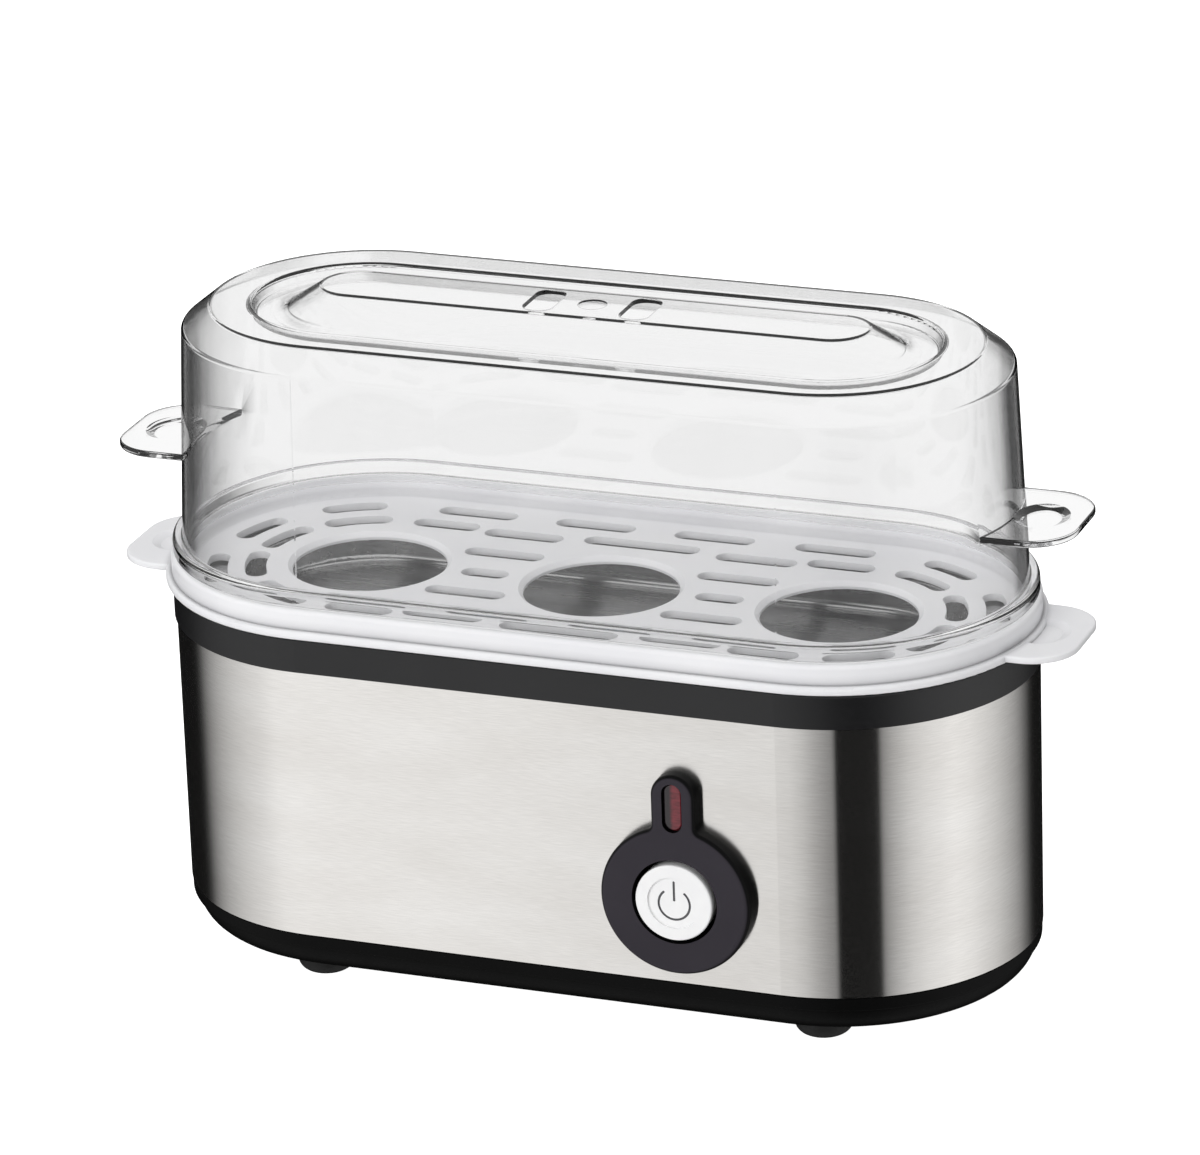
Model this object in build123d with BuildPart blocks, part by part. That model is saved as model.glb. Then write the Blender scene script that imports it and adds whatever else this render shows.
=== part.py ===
"""Electric egg cooker with three seats: steel body on a black base, white tray and clear lid.

Millimetres, +Z up, front towards -Y, origin on the table under the middle of the body.
The plan of every shell is a stadium: two half circles joined by straight sides.
"""

import os
from math import cos, pi, radians, sin, sqrt, tan

from build123d import *

# Plan
END_CENTRE = 52.5  # middle of the body to the centre of each round end, also the pitch of the seats
BODY_RADIUS = 41.5  # outside of the steel sleeve, from the end's centre

# Clearances
REST_GAP = 0.3  # between shells that lift off each other
SLIP_GAP = 0.3  # between shells that slide into each other
HOLE_GAP = 0.1  # round a fixed piece in its hole
RUNNING_GAP = 0.05  # round a sliding stem or a threaded shank
LID_PLAY = 0.5  # round the lid's skirt inside the tray's lip
SIDE_GAP = 1.4  # between pillars, pan and the shells beside them

# Base, feet and steel sleeve
FOOT_RADIUS = 6.2
FOOT_HEIGHT = 5.6
FOOT_DOME = 2.6  # rounding of the foot's lower edge
FOOT_SHIFT_X = 8.0  # middle of the foot from the pillar above it, towards the middle of the body
FOOT_SHIFT_Y = 6.6
FOOT_STEM_RADIUS = 2.6
FOOT_HEAD_RADIUS = 3.6
FOOT_HEAD_HEIGHT = 1.2
BASE_HEIGHT = 9.1  # underside of the base to the lower edge of the steel
BASE_STEP = 1.1  # how far the base's lower body stands back from the steel
BASE_TAPER = 0.8  # how much narrower that body is at its underside
BAND_HEIGHT = 3.1  # band round the base just under the steel
BAND_STEP = 0.2
BAND_ROUNDING = 0.3
REVEAL_HEIGHT = 0.4  # fine groove between the band and the steel
REVEAL_STEP = 0.35
BASE_FLOOR = 2.4
BASE_WALL = 2.0
SPIGOT_HEIGHT = 5.0  # upstand inside the sleeve, at the base and at the ring
SLEEVE_HEIGHT = 59.8
SLEEVE_WALL = 0.6

# Ring round the top of the sleeve, pillars and screws
RING_HEIGHT = 7.5
RING_STEP = 0.5  # how far the ring stands proud of the steel
RING_WALL = 3.4
SHELF_DEPTH = 2.0  # below the top of the ring
SHELF_THICKNESS = 2.6
RING_ROUNDING = 0.8
RING_INNER_ROUNDING = 0.5
PILLAR_RADIUS = 3.6
PILLAR_ANGLE = 70.0  # from the long axis, about the end's centre
PILLAR_GROUND = 5.4  # lower end of the pillars above the base's floor
BOSS_MARGIN = 1.0  # how much wider the base's bosses are than the pillars on them
SCREW_RADIUS = 1.5
SCREW_HEAD_RADIUS = 3.2
SCREW_HEAD_HEIGHT = 2.0
SCREW_LENGTH = 14.0
SCREW_SINK = 4.0  # depth of the counterbore under the base

# Heating plate, the pan that the water boils in
PAN_SHEET = 0.8
PAN_DEPTH = 8.0
PAN_TAPER = 1.4
PAN_FLANGE = 6.6
PAN_ROUNDING = 1.6  # inside, at the foot of its wall
PAN_LIP_ROUNDING = 0.8
SEAL_THICKNESS = 0.8
SEAL_WIDTH = 4.8
PAN_SCREW_X = 14.0
PAN_SCREW_RADIUS = 1.2
PAN_SCREW_HEAD = 2.3
PAN_SCREW_LENGTH = 8.0
PAN_BOSS_RADIUS = 3.0
COUNTERSINK_ANGLE = 82.0

# Heating element and what clamps it
ELEMENT_RADIUS = 3.0
ELEMENT_Y = 14.0
ELEMENT_RUN = 40.0  # half the length of its straight runs
PIN_RADIUS = 1.2
PIN_LENGTH = 10.0
CLAMP_WIDTH = 8.0
CLAMP_CORNER = 2.0
CLAMP_THICKNESS = 1.5
CLAMP_OVERLAP = 5.0  # past the middle of the element's runs
STUD_RADIUS = 1.5
NUT_ACROSS = 5.5
NUT_HEIGHT = 2.4
STUD_TIP = 0.5  # stud past the clamp's nut

# Thermostat and thermal fuse under the pan
THERMOSTAT_RADIUS = 8.0
THERMOSTAT_HEIGHT = 12.0
THERMOSTAT_CHAMFER = 1.0
EAR_DROP = 3.2  # pan to the upper side of the ears
EAR_THICKNESS = 0.8
EAR_WIDTH = 7.0
BLADE_WIDTH = 6.3
BLADE_THICKNESS = 0.8
BLADE_LENGTH = 8.0
BLADE_X = 3.6
FUSE_RADIUS = 2.2
FUSE_LENGTH = 14.0
FUSE_WIRE_RADIUS = 0.6
FUSE_WIRE = 3.0
CLIP_WALL = 1.4
CLIP_LENGTH = 6.0

# Egg tray
TRAY_FLOOR = 1.6
TRAY_DISH = 4.6  # depth of the floor below the lip
FLANGE_HEIGHT = 1.9
FLANGE_STEP = 1.3  # how far the lower flange stands out past the lip
FLANGE_OVERHANG = 1.4  # how far it stands out past the ring
LIP_HEIGHT = 4.2
LIP_WALL = 1.9
DISH_ROUNDING = 1.2
LIP_ROUNDING = 1.0
LIP_INNER_ROUNDING = 0.5
FLANGE_ROUNDING = 0.9
FLANGE_FOOT_ROUNDING = 0.6
TRAY_SKIRT_WALL = 1.8
TRAY_SKIRT_DEPTH = 1.8
SEAT_RADIUS = 16.5
SEAT_CHAMFER = 1.0
SLOT_WIDTH = 4.6
BRIDGE_SLOT_SHORT = 10.5
BRIDGE_SLOT_LONG = 17.8
INNER_ROW_SHARE = 0.607  # of the dish's radius, to the inner row of slots
OUTER_ROW_SHARE = 0.811
BRIDGE_SHARE = 0.467  # of the inner row's radius, between the slots on the bridges
FRONT_SLOT = 26.0
SIDE_SLOT = 15.0
SIDE_SLOT_X = 44.6
OUTER_SLOT = 18.0
OUTER_SLOT_X = 13.5
INNER_ARCS = (20.0, 62.0)  # angles of the curved slots from the long axis
INNER_ARC_SPAN = 24.0
OUTER_ARCS = (21.0, 62.0)
OUTER_ARC_SPAN = 17.0

# Lift tabs on tray and lid
TAB_LENGTH = 10.0  # past the tray's flange
TAB_HALF_WIDTH = 15.2
TAB_CORNER = 10.0
TAB_ROUNDING = 0.5
TRAY_TAB_THICKNESS = 1.5
TRAY_TAB_LIFT = 0.3  # above the underside of the tray's flange
LID_TAB_THICKNESS = 1.5
LID_TAB_HEIGHT = 17.5  # top of the lid's tab above its rim
PAD_INSET = 9.3  # tip of the tab to the middle of the thumb pad
PAD_LENGTH = 11.4
PAD_WIDTH = 14.0
PAD_DEPTH = 0.8
PAD_SLOPE = 1.8  # how much smaller the pad's floor is, all round

# Lid
LID_WALL = 1.0
LID_SKIRT_DEPTH = 1.6
LID_RIM_HEIGHT = 3.2
LID_RIM_SETBACK = 0.5  # rim behind the tray's lip
LID_WALL_HEIGHT = 45.9
LID_FOOT_STEP = 0.2  # foot of the wall behind the skirt
LID_DRAFT = 2.2
BEVEL_HEIGHT = 4.9
BEVEL_WIDTH = 6.1
TOP_FLAT = 8.7
TROUGH_DEPTH = 2.2
TROUGH_SLOPE = 1.0
RIDGE_HEIGHT = 3.3  # above the flat
RIDGE_HALF_WIDTH = 7.7
RIDGE_SLOPE = 8.5
RIM_ROUNDING = 1.0
RIM_FOOT_ROUNDING = 0.6
WALL_FOOT_ROUNDING = 0.4
CREASE_ROUNDING = 0.7
FLAT_ROUNDING = 0.6
TROUGH_ROUNDING = 0.6
RIDGE_FOOT_ROUNDING = 6.0
RIDGE_ROUNDING = 0.6
VENT_X = 10.6
VENT_WIDTH = 6.6
VENT_LENGTH = 13.0
VENT_CORNER = 2.8
DIMPLE_RADIUS = 3.1
DIMPLE_DEPTH = 0.4

# Control on the front
PLATE_X = 31.0
PLATE_SHARE = 0.208  # of the sleeve's height that the plate leaves free, below the plate
PLATE_RADIUS = 16.3
PLATE_PROUD = 3.4
PLATE_SKIN = 1.4
PLATE_ROUNDING = 1.1
TONGUE_RADIUS = 4.75
TONGUE_RISE = 23.15  # middle of the button to the centre of the tongue's round top
TONGUE_BLEND = 1.6
COLLAR_WALL = 2.2
COLLAR_DEPTH = 5.5  # behind the outside of the steel
BOSS_RADIUS = 2.6
BOSS_X = 12.6
PLATE_SCREW_RADIUS = 1.1
PLATE_SCREW_HEAD = 2.4
PLATE_SCREW_HEAD_HEIGHT = 1.6
PLATE_SCREW_LENGTH = 8.0
STEEL_HOLE_GAP = 0.4

# Power button, its return spring and the switch
BUTTON_RADIUS = 8.35
BUTTON_GAP = 0.95
BUTTON_PROUD = 0.6
BUTTON_DEPTH = 5.0
BUTTON_DISH_RADIUS = 5.7
BUTTON_DISH_DEPTH = 0.6
BUTTON_ROUNDING = 0.4
STEM_RADIUS = 2.5
STEM_ENGAGE = 0.5  # stem past the bracket
MARK_RADIUS = 3.4
MARK_DROP = 0.45  # middle of the mark's ring below the middle of the button
MARK_LINE = 0.5
MARK_DEPTH = 0.25
MARK_OPENING = 84.0
MARK_BAR_FROM = 0.65
MARK_BAR_TO = 5.15
SPRING_RADIUS = 4.2
SPRING_WIRE = 0.3
SPRING_TURNS = 3
SPRING_SEAT = 0.05
BRACKET_THICKNESS = 2.5
BRACKET_WIDTH = 34.0
BRACKET_CORNER = 3.0
BRACKET_DROP = 15.0  # below the middle of the button
SWITCH_SIDE = 19.0
SWITCH_CORNER = 1.5
SWITCH_DEPTH = 15.0
SWITCH_BORE_DEPTH = 4.0
SWITCH_BLADE = 6.5
SWITCH_BLADE_OFFSET = 6.0

# Indicator
LENS_WIDTH = 3.8
LENS_HEIGHT = 10.2
LENS_GAP = 0.25
LENS_RECESS = 0.7
LENS_ROUNDING = 0.3
LENS_FLANGE = 0.5  # how much wider than the lens its flange behind the plate is, all round
LENS_FLANGE_THICKNESS = 1.2
LAMP_RADIUS = 2.2
LAMP_LENGTH = 12.0
LAMP_ROUNDING = 1.1
LAMP_GAP = 0.1
LAMP_WINDOW = 0.6  # how much wider than the lens the sleeve's window is, all round
LAMP_WIRE_RADIUS = 0.4
LAMP_WIRE_BEND = 1.5
LAMP_WIRE_X = 1.1
LAMP_WIRE_BACK = 4.0  # behind the bracket

# Terminal block, cord gland and leads
BLOCK_X = -25.0
BLOCK_INSET = 9.6  # between the block and the base's wall
BLOCK_LENGTH = 30.0
BLOCK_WIDTH = 14.0
BLOCK_HEIGHT = 13.0
BLOCK_CORNER = 1.4
BLOCK_PITCH = 7.0
BLOCK_SCREW_RADIUS = 1.4
BLOCK_SCREW_HEAD = 2.4
BLOCK_SCREW_HEAD_HEIGHT = 1.4
BLOCK_SCREW_SINK = 3.0
BLOCK_SCREW_INSET = 3.2  # from the block's ends
GLAND_X = -30.0
GLAND_RISE = 14.4  # above the lower edge of the sleeve
GLAND_RADIUS = 5.0
GLAND_BORE = 3.2
GLAND_FLANGE_RADIUS = 7.5
GLAND_FLANGE = 2.2
GLAND_NOSE_RADIUS = 4.6
GLAND_INNER = 8.0
GLAND_NUT_ACROSS = 14.0
GLAND_NUT_HEIGHT = 4.0
LEAD_RADIUS = 1.2
LEAD_BEND = 5.0
BEND_SHARE = 0.45  # most of a run that one bend may take
EARTH_DROP = 3.0  # pan to the upper side of the tag
EARTH_TAG_REACH = 8.0
EARTH_TAG_RADIUS = 3.6
EARTH_TAG_THICKNESS = 1.0

# Heights that follow, from the table up
BASE_Z = FOOT_HEIGHT
FLOOR_Z = BASE_Z + BASE_FLOOR
SLEEVE_Z = BASE_Z + BASE_HEIGHT
BAND_Z = SLEEVE_Z - BAND_HEIGHT
REVEAL_Z = SLEEVE_Z - REVEAL_HEIGHT
RING_Z = SLEEVE_Z + SLEEVE_HEIGHT
RING_TOP = RING_Z + RING_HEIGHT
SHELF_Z = RING_TOP - SHELF_DEPTH
SHELF_UNDER = SHELF_Z - SHELF_THICKNESS
PILLAR_Z = FLOOR_Z + PILLAR_GROUND
PAN_RIM_Z = SHELF_Z + SEAL_THICKNESS
PAN_TOP = PAN_RIM_Z + PAN_SHEET
PAN_FLOOR = PAN_TOP - PAN_DEPTH
PAN_UNDER = PAN_FLOOR - PAN_SHEET
FLANGE_Z = RING_TOP + REST_GAP
FLANGE_TOP = FLANGE_Z + FLANGE_HEIGHT
TRAY_TAB_Z = FLANGE_Z + TRAY_TAB_LIFT
LIP_Z = FLANGE_TOP + LIP_HEIGHT
TRAY_Z = LIP_Z - TRAY_DISH
LID_RIM_Z = LIP_Z + REST_GAP
LID_RIM_TOP = LID_RIM_Z + LID_RIM_HEIGHT
CREASE_Z = LID_RIM_TOP + LID_WALL_HEIGHT
FLAT_Z = CREASE_Z + BEVEL_HEIGHT
TROUGH_Z = FLAT_Z - TROUGH_DEPTH
RIDGE_Z = FLAT_Z + RIDGE_HEIGHT
LID_TAB_Z = LID_RIM_TOP + LID_TAB_HEIGHT - LID_TAB_THICKNESS
PLATE_FREE = SLEEVE_HEIGHT - PLATE_RADIUS - TONGUE_RISE - TONGUE_RADIUS
PLATE_Z = SLEEVE_Z + PLATE_SHARE * PLATE_FREE + PLATE_RADIUS
LENS_TOP = TONGUE_RISE + TONGUE_RADIUS - PLATE_SKIN - HOLE_GAP - LENS_FLANGE
LENS_RISE = LENS_TOP - LENS_HEIGHT / 2
BRACKET_RISE = LENS_RISE + LAMP_LENGTH / 2  # to the lamp's upper end
GLAND_Z = SLEEVE_Z + GLAND_RISE
GLAND_REACH = PLATE_PROUD + BUTTON_PROUD  # as far out as the button on the other side

# Radii that follow, from the end's centre
SLEEVE_INNER = BODY_RADIUS - SLEEVE_WALL
SPIGOT_RADIUS = SLEEVE_INNER - SLIP_GAP
SPIGOT_INNER = SPIGOT_RADIUS - BASE_WALL
BLOCK_Y = SPIGOT_INNER - BLOCK_INSET - BLOCK_WIDTH / 2
BASE_RADIUS = BODY_RADIUS - BASE_STEP
BASE_ROUNDING = BAND_Z - BASE_Z  # takes up all the height below the band
BAND_RADIUS = BODY_RADIUS - BAND_STEP
REVEAL_RADIUS = BODY_RADIUS - REVEAL_STEP
RING_RADIUS = BODY_RADIUS + RING_STEP
RING_INNER = RING_RADIUS - RING_WALL
PILLAR_CIRCLE = SPIGOT_INNER - SIDE_GAP - PILLAR_RADIUS
PAN_RADIUS = PILLAR_CIRCLE - PILLAR_RADIUS - SIDE_GAP
SHELF_INNER = PAN_RADIUS + SLIP_GAP
PAN_FLANGE_RADIUS = PAN_RADIUS + PAN_FLANGE
PAN_SCREW_Y = PAN_RADIUS + PAN_FLANGE / 2
FLANGE_RADIUS = RING_RADIUS + FLANGE_OVERHANG
TAB_REACH = END_CENTRE + FLANGE_RADIUS + TAB_LENGTH
LIP_RADIUS = FLANGE_RADIUS - FLANGE_STEP
DISH_RADIUS = LIP_RADIUS - LIP_WALL
INNER_ROW = INNER_ROW_SHARE * DISH_RADIUS
OUTER_ROW = OUTER_ROW_SHARE * DISH_RADIUS
BRIDGE_PITCH = BRIDGE_SHARE * INNER_ROW
TRAY_SKIRT_RADIUS = RING_INNER - SLIP_GAP
LID_SKIRT_RADIUS = DISH_RADIUS - LID_PLAY
LID_RIM_RADIUS = LIP_RADIUS - LID_RIM_SETBACK
LID_FOOT_RADIUS = LID_SKIRT_RADIUS - LID_FOOT_STEP
CREASE_RADIUS = LID_FOOT_RADIUS - LID_DRAFT
FLAT_RADIUS = CREASE_RADIUS - BEVEL_WIDTH
TROUGH_RADIUS = FLAT_RADIUS - TOP_FLAT
ELEMENT_Z = PAN_UNDER - HOLE_GAP - ELEMENT_RADIUS

PILLAR_X = END_CENTRE + PILLAR_CIRCLE * cos(radians(PILLAR_ANGLE))
PILLAR_Y = PILLAR_CIRCLE * sin(radians(PILLAR_ANGLE))
FOUR_PILLARS = [(x, y) for x in (-PILLAR_X, PILLAR_X) for y in (-PILLAR_Y, PILLAR_Y)]
FOUR_PAN_SCREWS = [(x, y) for x in (-PAN_SCREW_X, PAN_SCREW_X) for y in (-PAN_SCREW_Y, PAN_SCREW_Y)]
FOOT_X = PILLAR_X - FOOT_SHIFT_X
FOOT_Y = PILLAR_Y - FOOT_SHIFT_Y
FOUR_FEET = [(x, y) for x in (-FOOT_X, FOOT_X) for y in (-FOOT_Y, FOOT_Y)]
EAR_HOLE_X = THERMOSTAT_RADIUS + NUT_ACROSS / sqrt(3) + SLIP_GAP
EAR_HOLES = [(-EAR_HOLE_X, 0), (EAR_HOLE_X, 0)]
CLAMP_X = EAR_HOLE_X + EAR_WIDTH / 2 + SIDE_GAP + CLAMP_WIDTH / 2
CLAMP_STUDS = [(-CLAMP_X, 0), (CLAMP_X, 0)]
EARTH_X = -(CLAMP_X + CLAMP_WIDTH / 2 + SIDE_GAP + EARTH_TAG_RADIUS)
EARTH_STUD = (EARTH_X, 0)
BLOCK_SCREW_X = BLOCK_LENGTH / 2 - BLOCK_SCREW_INSET
BLOCK_SCREWS = [(BLOCK_X - BLOCK_SCREW_X, BLOCK_Y), (BLOCK_X + BLOCK_SCREW_X, BLOCK_Y)]
SEATS = [(-END_CENTRE, 0), (0, 0), (END_CENTRE, 0)]
TAB_PADS = [(PAD_INSET - TAB_REACH, 0), (TAB_REACH - PAD_INSET, 0)]
PLATE_BOSSES = [(-BOSS_X, 0), (BOSS_X, 0)]
BUTTON_WELL = BUTTON_RADIUS + BUTTON_GAP

# Planes on the flat sides of the body: front, for the control, and back, for the cord gland
FRONT = Plane(origin=(PLATE_X, -BODY_RADIUS, PLATE_Z), x_dir=(1, 0, 0), z_dir=(0, -1, 0))
REAR = Plane(origin=(GLAND_X, BODY_RADIUS, GLAND_Z), x_dir=(-1, 0, 0), z_dir=(0, 1, 0))

os.makedirs("parts", exist_ok=True)


def keep(piece, name):
    """Labels a finished piece and writes it as one file."""
    piece.label = name
    export_step(piece, f"parts/{name}.step")


def around_plan(corners, mode=Mode.ADD):
    """Carries a section of (radius, height, rounding) corners round the stadium plan."""
    for side in (1, -1):
        end = Plane(origin=(side * END_CENTRE, 0, 0), x_dir=(0, -side, 0), z_dir=(-side, 0, 0))
        with BuildSketch(end) as section:
            with BuildLine():
                Polyline(*[(radius, height) for radius, height, rounding in corners], close=True)
            make_face()
            for radius, height, rounding in corners:
                if rounding:
                    fillet(section.vertices().sort_by_distance((radius, height, 0))[0], rounding)
        revolve(section.sketch, axis=Axis(end.origin, (0, 0, 1)), revolution_arc=180, mode=mode)
        extrude(section.sketch, amount=2 * END_CENTRE, mode=mode)


def inset(outline, wall):
    """Corners of an outline's inner skin: every side moved inwards by the wall and met again."""
    sides = []
    for (r0, z0), (r1, z1) in zip(outline, outline[1:]):
        along = Vector(r1 - r0, z1 - z0).normalized()
        inward = Vector(along.Y, -along.X) * wall
        sides.append((Vector(r0, z0) + inward, along, Vector(r1, z1) + inward))
    corners = [sides[0][0]]
    for (start, along, _), (other, across, _) in zip(sides, sides[1:]):
        turn = along.X * across.Y - along.Y * across.X
        gap = other - start
        corners.append(start + along * ((gap.X * across.Y - gap.Y * across.X) / turn))
    corners.append(sides[-1][2])
    return [(corner.X, corner.Y) for corner in corners]


def turned(profile, centres, plane=Plane.XY):
    """Turns a half profile of (radius, height) points into one solid at each centre on a plane."""
    with BuildPart() as solids:
        with BuildSketch(Plane.XZ):
            with BuildLine():
                Polyline(*profile, close=True)
            make_face()
        revolve(axis=Axis.Z)
    with BuildPart(plane) as placed:
        with Locations(*centres):
            add(solids.part)
    return placed.part


def screw_profile(radius, head_radius, head_height, length, under_head, way):
    """Half profile of a screw whose head sits under_head and whose shank runs the given way."""
    return [
        (0, under_head - way * head_height),
        (head_radius, under_head - way * head_height),
        (head_radius, under_head),
        (radius, under_head),
        (radius, under_head + way * length),
        (0, under_head + way * length),
    ]


def lead(route, radius=LEAD_RADIUS, bend=LEAD_BEND):
    """A wire along straight runs joined by tangent bends, no wider than its runs leave room for."""
    shortest = min((Vector(*end) - Vector(*start)).length for start, end in zip(route, route[1:]))
    with BuildPart() as wire:
        with BuildLine() as path:
            FilletPolyline(*route, radius=min(bend, BEND_SHARE * shortest))
        with BuildSketch(Plane(origin=path.line @ 0, z_dir=path.line % 0)):
            Circle(radius)
        sweep()
    return wire.part


def nuts(centres, top):
    """Hexagon nuts on the pan's studs, with their upper faces at one height."""
    with BuildPart() as hexagons:
        with BuildSketch(Plane.XY.offset(top)):
            with Locations(*centres):
                RegularPolygon(NUT_ACROSS / 2, 6, major_radius=False)
                Circle(STUD_RADIUS + RUNNING_GAP, mode=Mode.SUBTRACT)
        extrude(amount=-NUT_HEIGHT)
    return hexagons.part


def tab_plate(under, thickness):
    """Plate right across the body whose two ends are the lift tabs, each with a sunk thumb pad."""
    with BuildPart() as plate:
        with BuildSketch(Plane.XY.offset(under)):
            RectangleRounded(2 * TAB_REACH, 2 * TAB_HALF_WIDTH, TAB_CORNER)
        extrude(amount=thickness)
        levels = plate.edges().group_by(Axis.Z)
        fillet(levels[0] + levels[-1], TAB_ROUNDING)
        for centre in TAB_PADS:
            with BuildSketch(Plane.XY.offset(under + thickness)):
                with Locations(centre):
                    Ellipse(PAD_LENGTH / 2, PAD_WIDTH / 2)
            with BuildSketch(Plane.XY.offset(under + thickness - PAD_DEPTH)):
                with Locations(centre):
                    Ellipse(PAD_LENGTH / 2 - PAD_SLOPE, PAD_WIDTH / 2 - PAD_SLOPE)
            loft(mode=Mode.SUBTRACT)
    return plate.part


def plate_sketch(grow):
    """Outline of the control plate, grown all round: a disc blended into a round-topped tongue."""
    disc = PLATE_RADIUS + grow
    half_tongue = TONGUE_RADIUS + grow
    with BuildSketch(FRONT) as outline:
        Circle(disc)
        with Locations((0, TONGUE_RISE / 2)):
            SlotCenterToCenter(TONGUE_RISE, 2 * half_tongue, rotation=90)
        meeting = sqrt(disc**2 - half_tongue**2)
        for side in (-1, 1):
            fillet(outline.vertices().sort_by_distance((side * half_tongue, meeting, 0))[0], TONGUE_BLEND)
    return outline.sketch


# Bottom base: a shallow moulded pan with bosses for the screws that hold the body together
with BuildPart() as bottom_base:
    around_plan(
        [
            (0, BASE_Z, 0),
            (BASE_RADIUS - BASE_TAPER, BASE_Z, BASE_ROUNDING),
            (BASE_RADIUS, BAND_Z, 0),
            (BAND_RADIUS, BAND_Z, BAND_ROUNDING),
            (BAND_RADIUS, REVEAL_Z, (REVEAL_STEP - BAND_STEP) / 2),
            (REVEAL_RADIUS, REVEAL_Z, 0),
            (REVEAL_RADIUS, SLEEVE_Z, 0),
            (SPIGOT_RADIUS, SLEEVE_Z, 0),
            (SPIGOT_RADIUS, SLEEVE_Z + SPIGOT_HEIGHT, 0),
            (SPIGOT_INNER, SLEEVE_Z + SPIGOT_HEIGHT, 0),
            (SPIGOT_INNER, FLOOR_Z, BASE_ROUNDING - BASE_WALL),
            (0, FLOOR_Z, 0),
        ]
    )
    with BuildSketch(Plane.XY.offset(FLOOR_Z)):
        with Locations(*FOUR_PILLARS):
            Circle(PILLAR_RADIUS + BOSS_MARGIN)
    extrude(amount=PILLAR_GROUND)
    with Locations(*[Location((x, y, BASE_Z), (180, 0, 0)) for x, y in FOUR_PILLARS]):
        CounterBoreHole(SCREW_RADIUS + HOLE_GAP, SCREW_HEAD_RADIUS + 2 * HOLE_GAP, SCREW_SINK)
    with Locations(*[(x, y, FLOOR_Z) for x, y in FOUR_FEET]):
        Hole(FOOT_STEM_RADIUS + HOLE_GAP)
    with Locations(*[(x, y, FLOOR_Z) for x, y in BLOCK_SCREWS]):
        Hole(BLOCK_SCREW_RADIUS + RUNNING_GAP)
keep(bottom_base.part, "bottom_base")

# Rubber feet: domed buttons with a stem and a head that snap into the base
with BuildPart() as rubber_feet:
    for centre in FOUR_FEET:
        with BuildSketch(Plane.XZ.offset(-centre[1])) as foot_half:
            with BuildLine():
                Polyline(
                    (centre[0], 0),
                    (centre[0] + FOOT_RADIUS, 0),
                    (centre[0] + FOOT_RADIUS, FOOT_HEIGHT),
                    (centre[0] + FOOT_STEM_RADIUS, FOOT_HEIGHT),
                    (centre[0] + FOOT_STEM_RADIUS, FLOOR_Z),
                    (centre[0] + FOOT_HEAD_RADIUS, FLOOR_Z),
                    (centre[0] + FOOT_STEM_RADIUS, FLOOR_Z + FOOT_HEAD_HEIGHT),
                    (centre[0], FLOOR_Z + FOOT_HEAD_HEIGHT),
                    close=True,
                )
            make_face()
            fillet(foot_half.vertices().sort_by_distance((centre[0] + FOOT_RADIUS, 0, 0))[0], FOOT_DOME)
        revolve(axis=Axis((centre[0], centre[1], 0), (0, 0, 1)))
keep(rubber_feet.part, "rubber_feet")

# Steel sleeve: a brushed stadium tube with openings behind the control and for the cord gland
with BuildPart() as steel_housing:
    with BuildSketch(Plane.XY.offset(SLEEVE_Z)):
        SlotCenterToCenter(2 * END_CENTRE, 2 * BODY_RADIUS)
        SlotCenterToCenter(2 * END_CENTRE, 2 * SLEEVE_INNER, mode=Mode.SUBTRACT)
    extrude(amount=SLEEVE_HEIGHT)
    with BuildSketch(FRONT):
        Circle(BUTTON_WELL + COLLAR_WALL + STEEL_HOLE_GAP)
        with Locations(*PLATE_BOSSES):
            Circle(BOSS_RADIUS + STEEL_HOLE_GAP)
        with Locations((0, LENS_RISE)):
            SlotOverall(LENS_HEIGHT + 2 * LAMP_WINDOW, LENS_WIDTH + 2 * LAMP_WINDOW, rotation=90)
    extrude(amount=-2 * SLEEVE_WALL, mode=Mode.SUBTRACT)
    with BuildSketch(REAR):
        Circle(GLAND_RADIUS + HOLE_GAP)
    extrude(amount=-2 * SLEEVE_WALL, mode=Mode.SUBTRACT)
keep(steel_housing.part, "steel_housing")

# Top ring: black trim that closes the sleeve, holds the pan and reaches down to the base on pillars
with BuildPart() as top_ring:
    around_plan(
        [
            (RING_RADIUS, RING_Z, 0),
            (RING_RADIUS, RING_TOP, RING_ROUNDING),
            (RING_INNER, RING_TOP, RING_INNER_ROUNDING),
            (RING_INNER, SHELF_Z, 0),
            (SHELF_INNER, SHELF_Z, 0),
            (SHELF_INNER, SHELF_UNDER, 0),
            (SPIGOT_INNER, SHELF_UNDER, 0),
            (SPIGOT_INNER, RING_Z - SPIGOT_HEIGHT, 0),
            (SPIGOT_RADIUS, RING_Z - SPIGOT_HEIGHT, 0),
            (SPIGOT_RADIUS, RING_Z, 0),
        ]
    )
    with BuildSketch(Plane.XY.offset(PILLAR_Z)):
        with Locations(*FOUR_PILLARS):
            Circle(PILLAR_RADIUS)
    extrude(amount=SHELF_UNDER + SHELF_THICKNESS / 2 - PILLAR_Z)
    with BuildSketch(Plane.XY.offset(PILLAR_Z)):
        with Locations(*FOUR_PILLARS):
            Circle(SCREW_RADIUS + RUNNING_GAP)
    extrude(amount=SCREW_LENGTH + SIDE_GAP, mode=Mode.SUBTRACT)
    with BuildSketch(Plane.XY.offset(SHELF_Z - SHELF_THICKNESS / 2)):
        with Locations(*FOUR_PAN_SCREWS):
            Circle(PAN_BOSS_RADIUS)
    extrude(amount=SHELF_THICKNESS / 2 - PAN_SCREW_LENGTH - SIDE_GAP)
    with BuildSketch(Plane.XY.offset(SHELF_Z)):
        with Locations(*FOUR_PAN_SCREWS):
            Circle(PAN_SCREW_RADIUS + RUNNING_GAP)
    extrude(amount=-PAN_SCREW_LENGTH, mode=Mode.SUBTRACT)
keep(top_ring.part, "top_ring")

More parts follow.
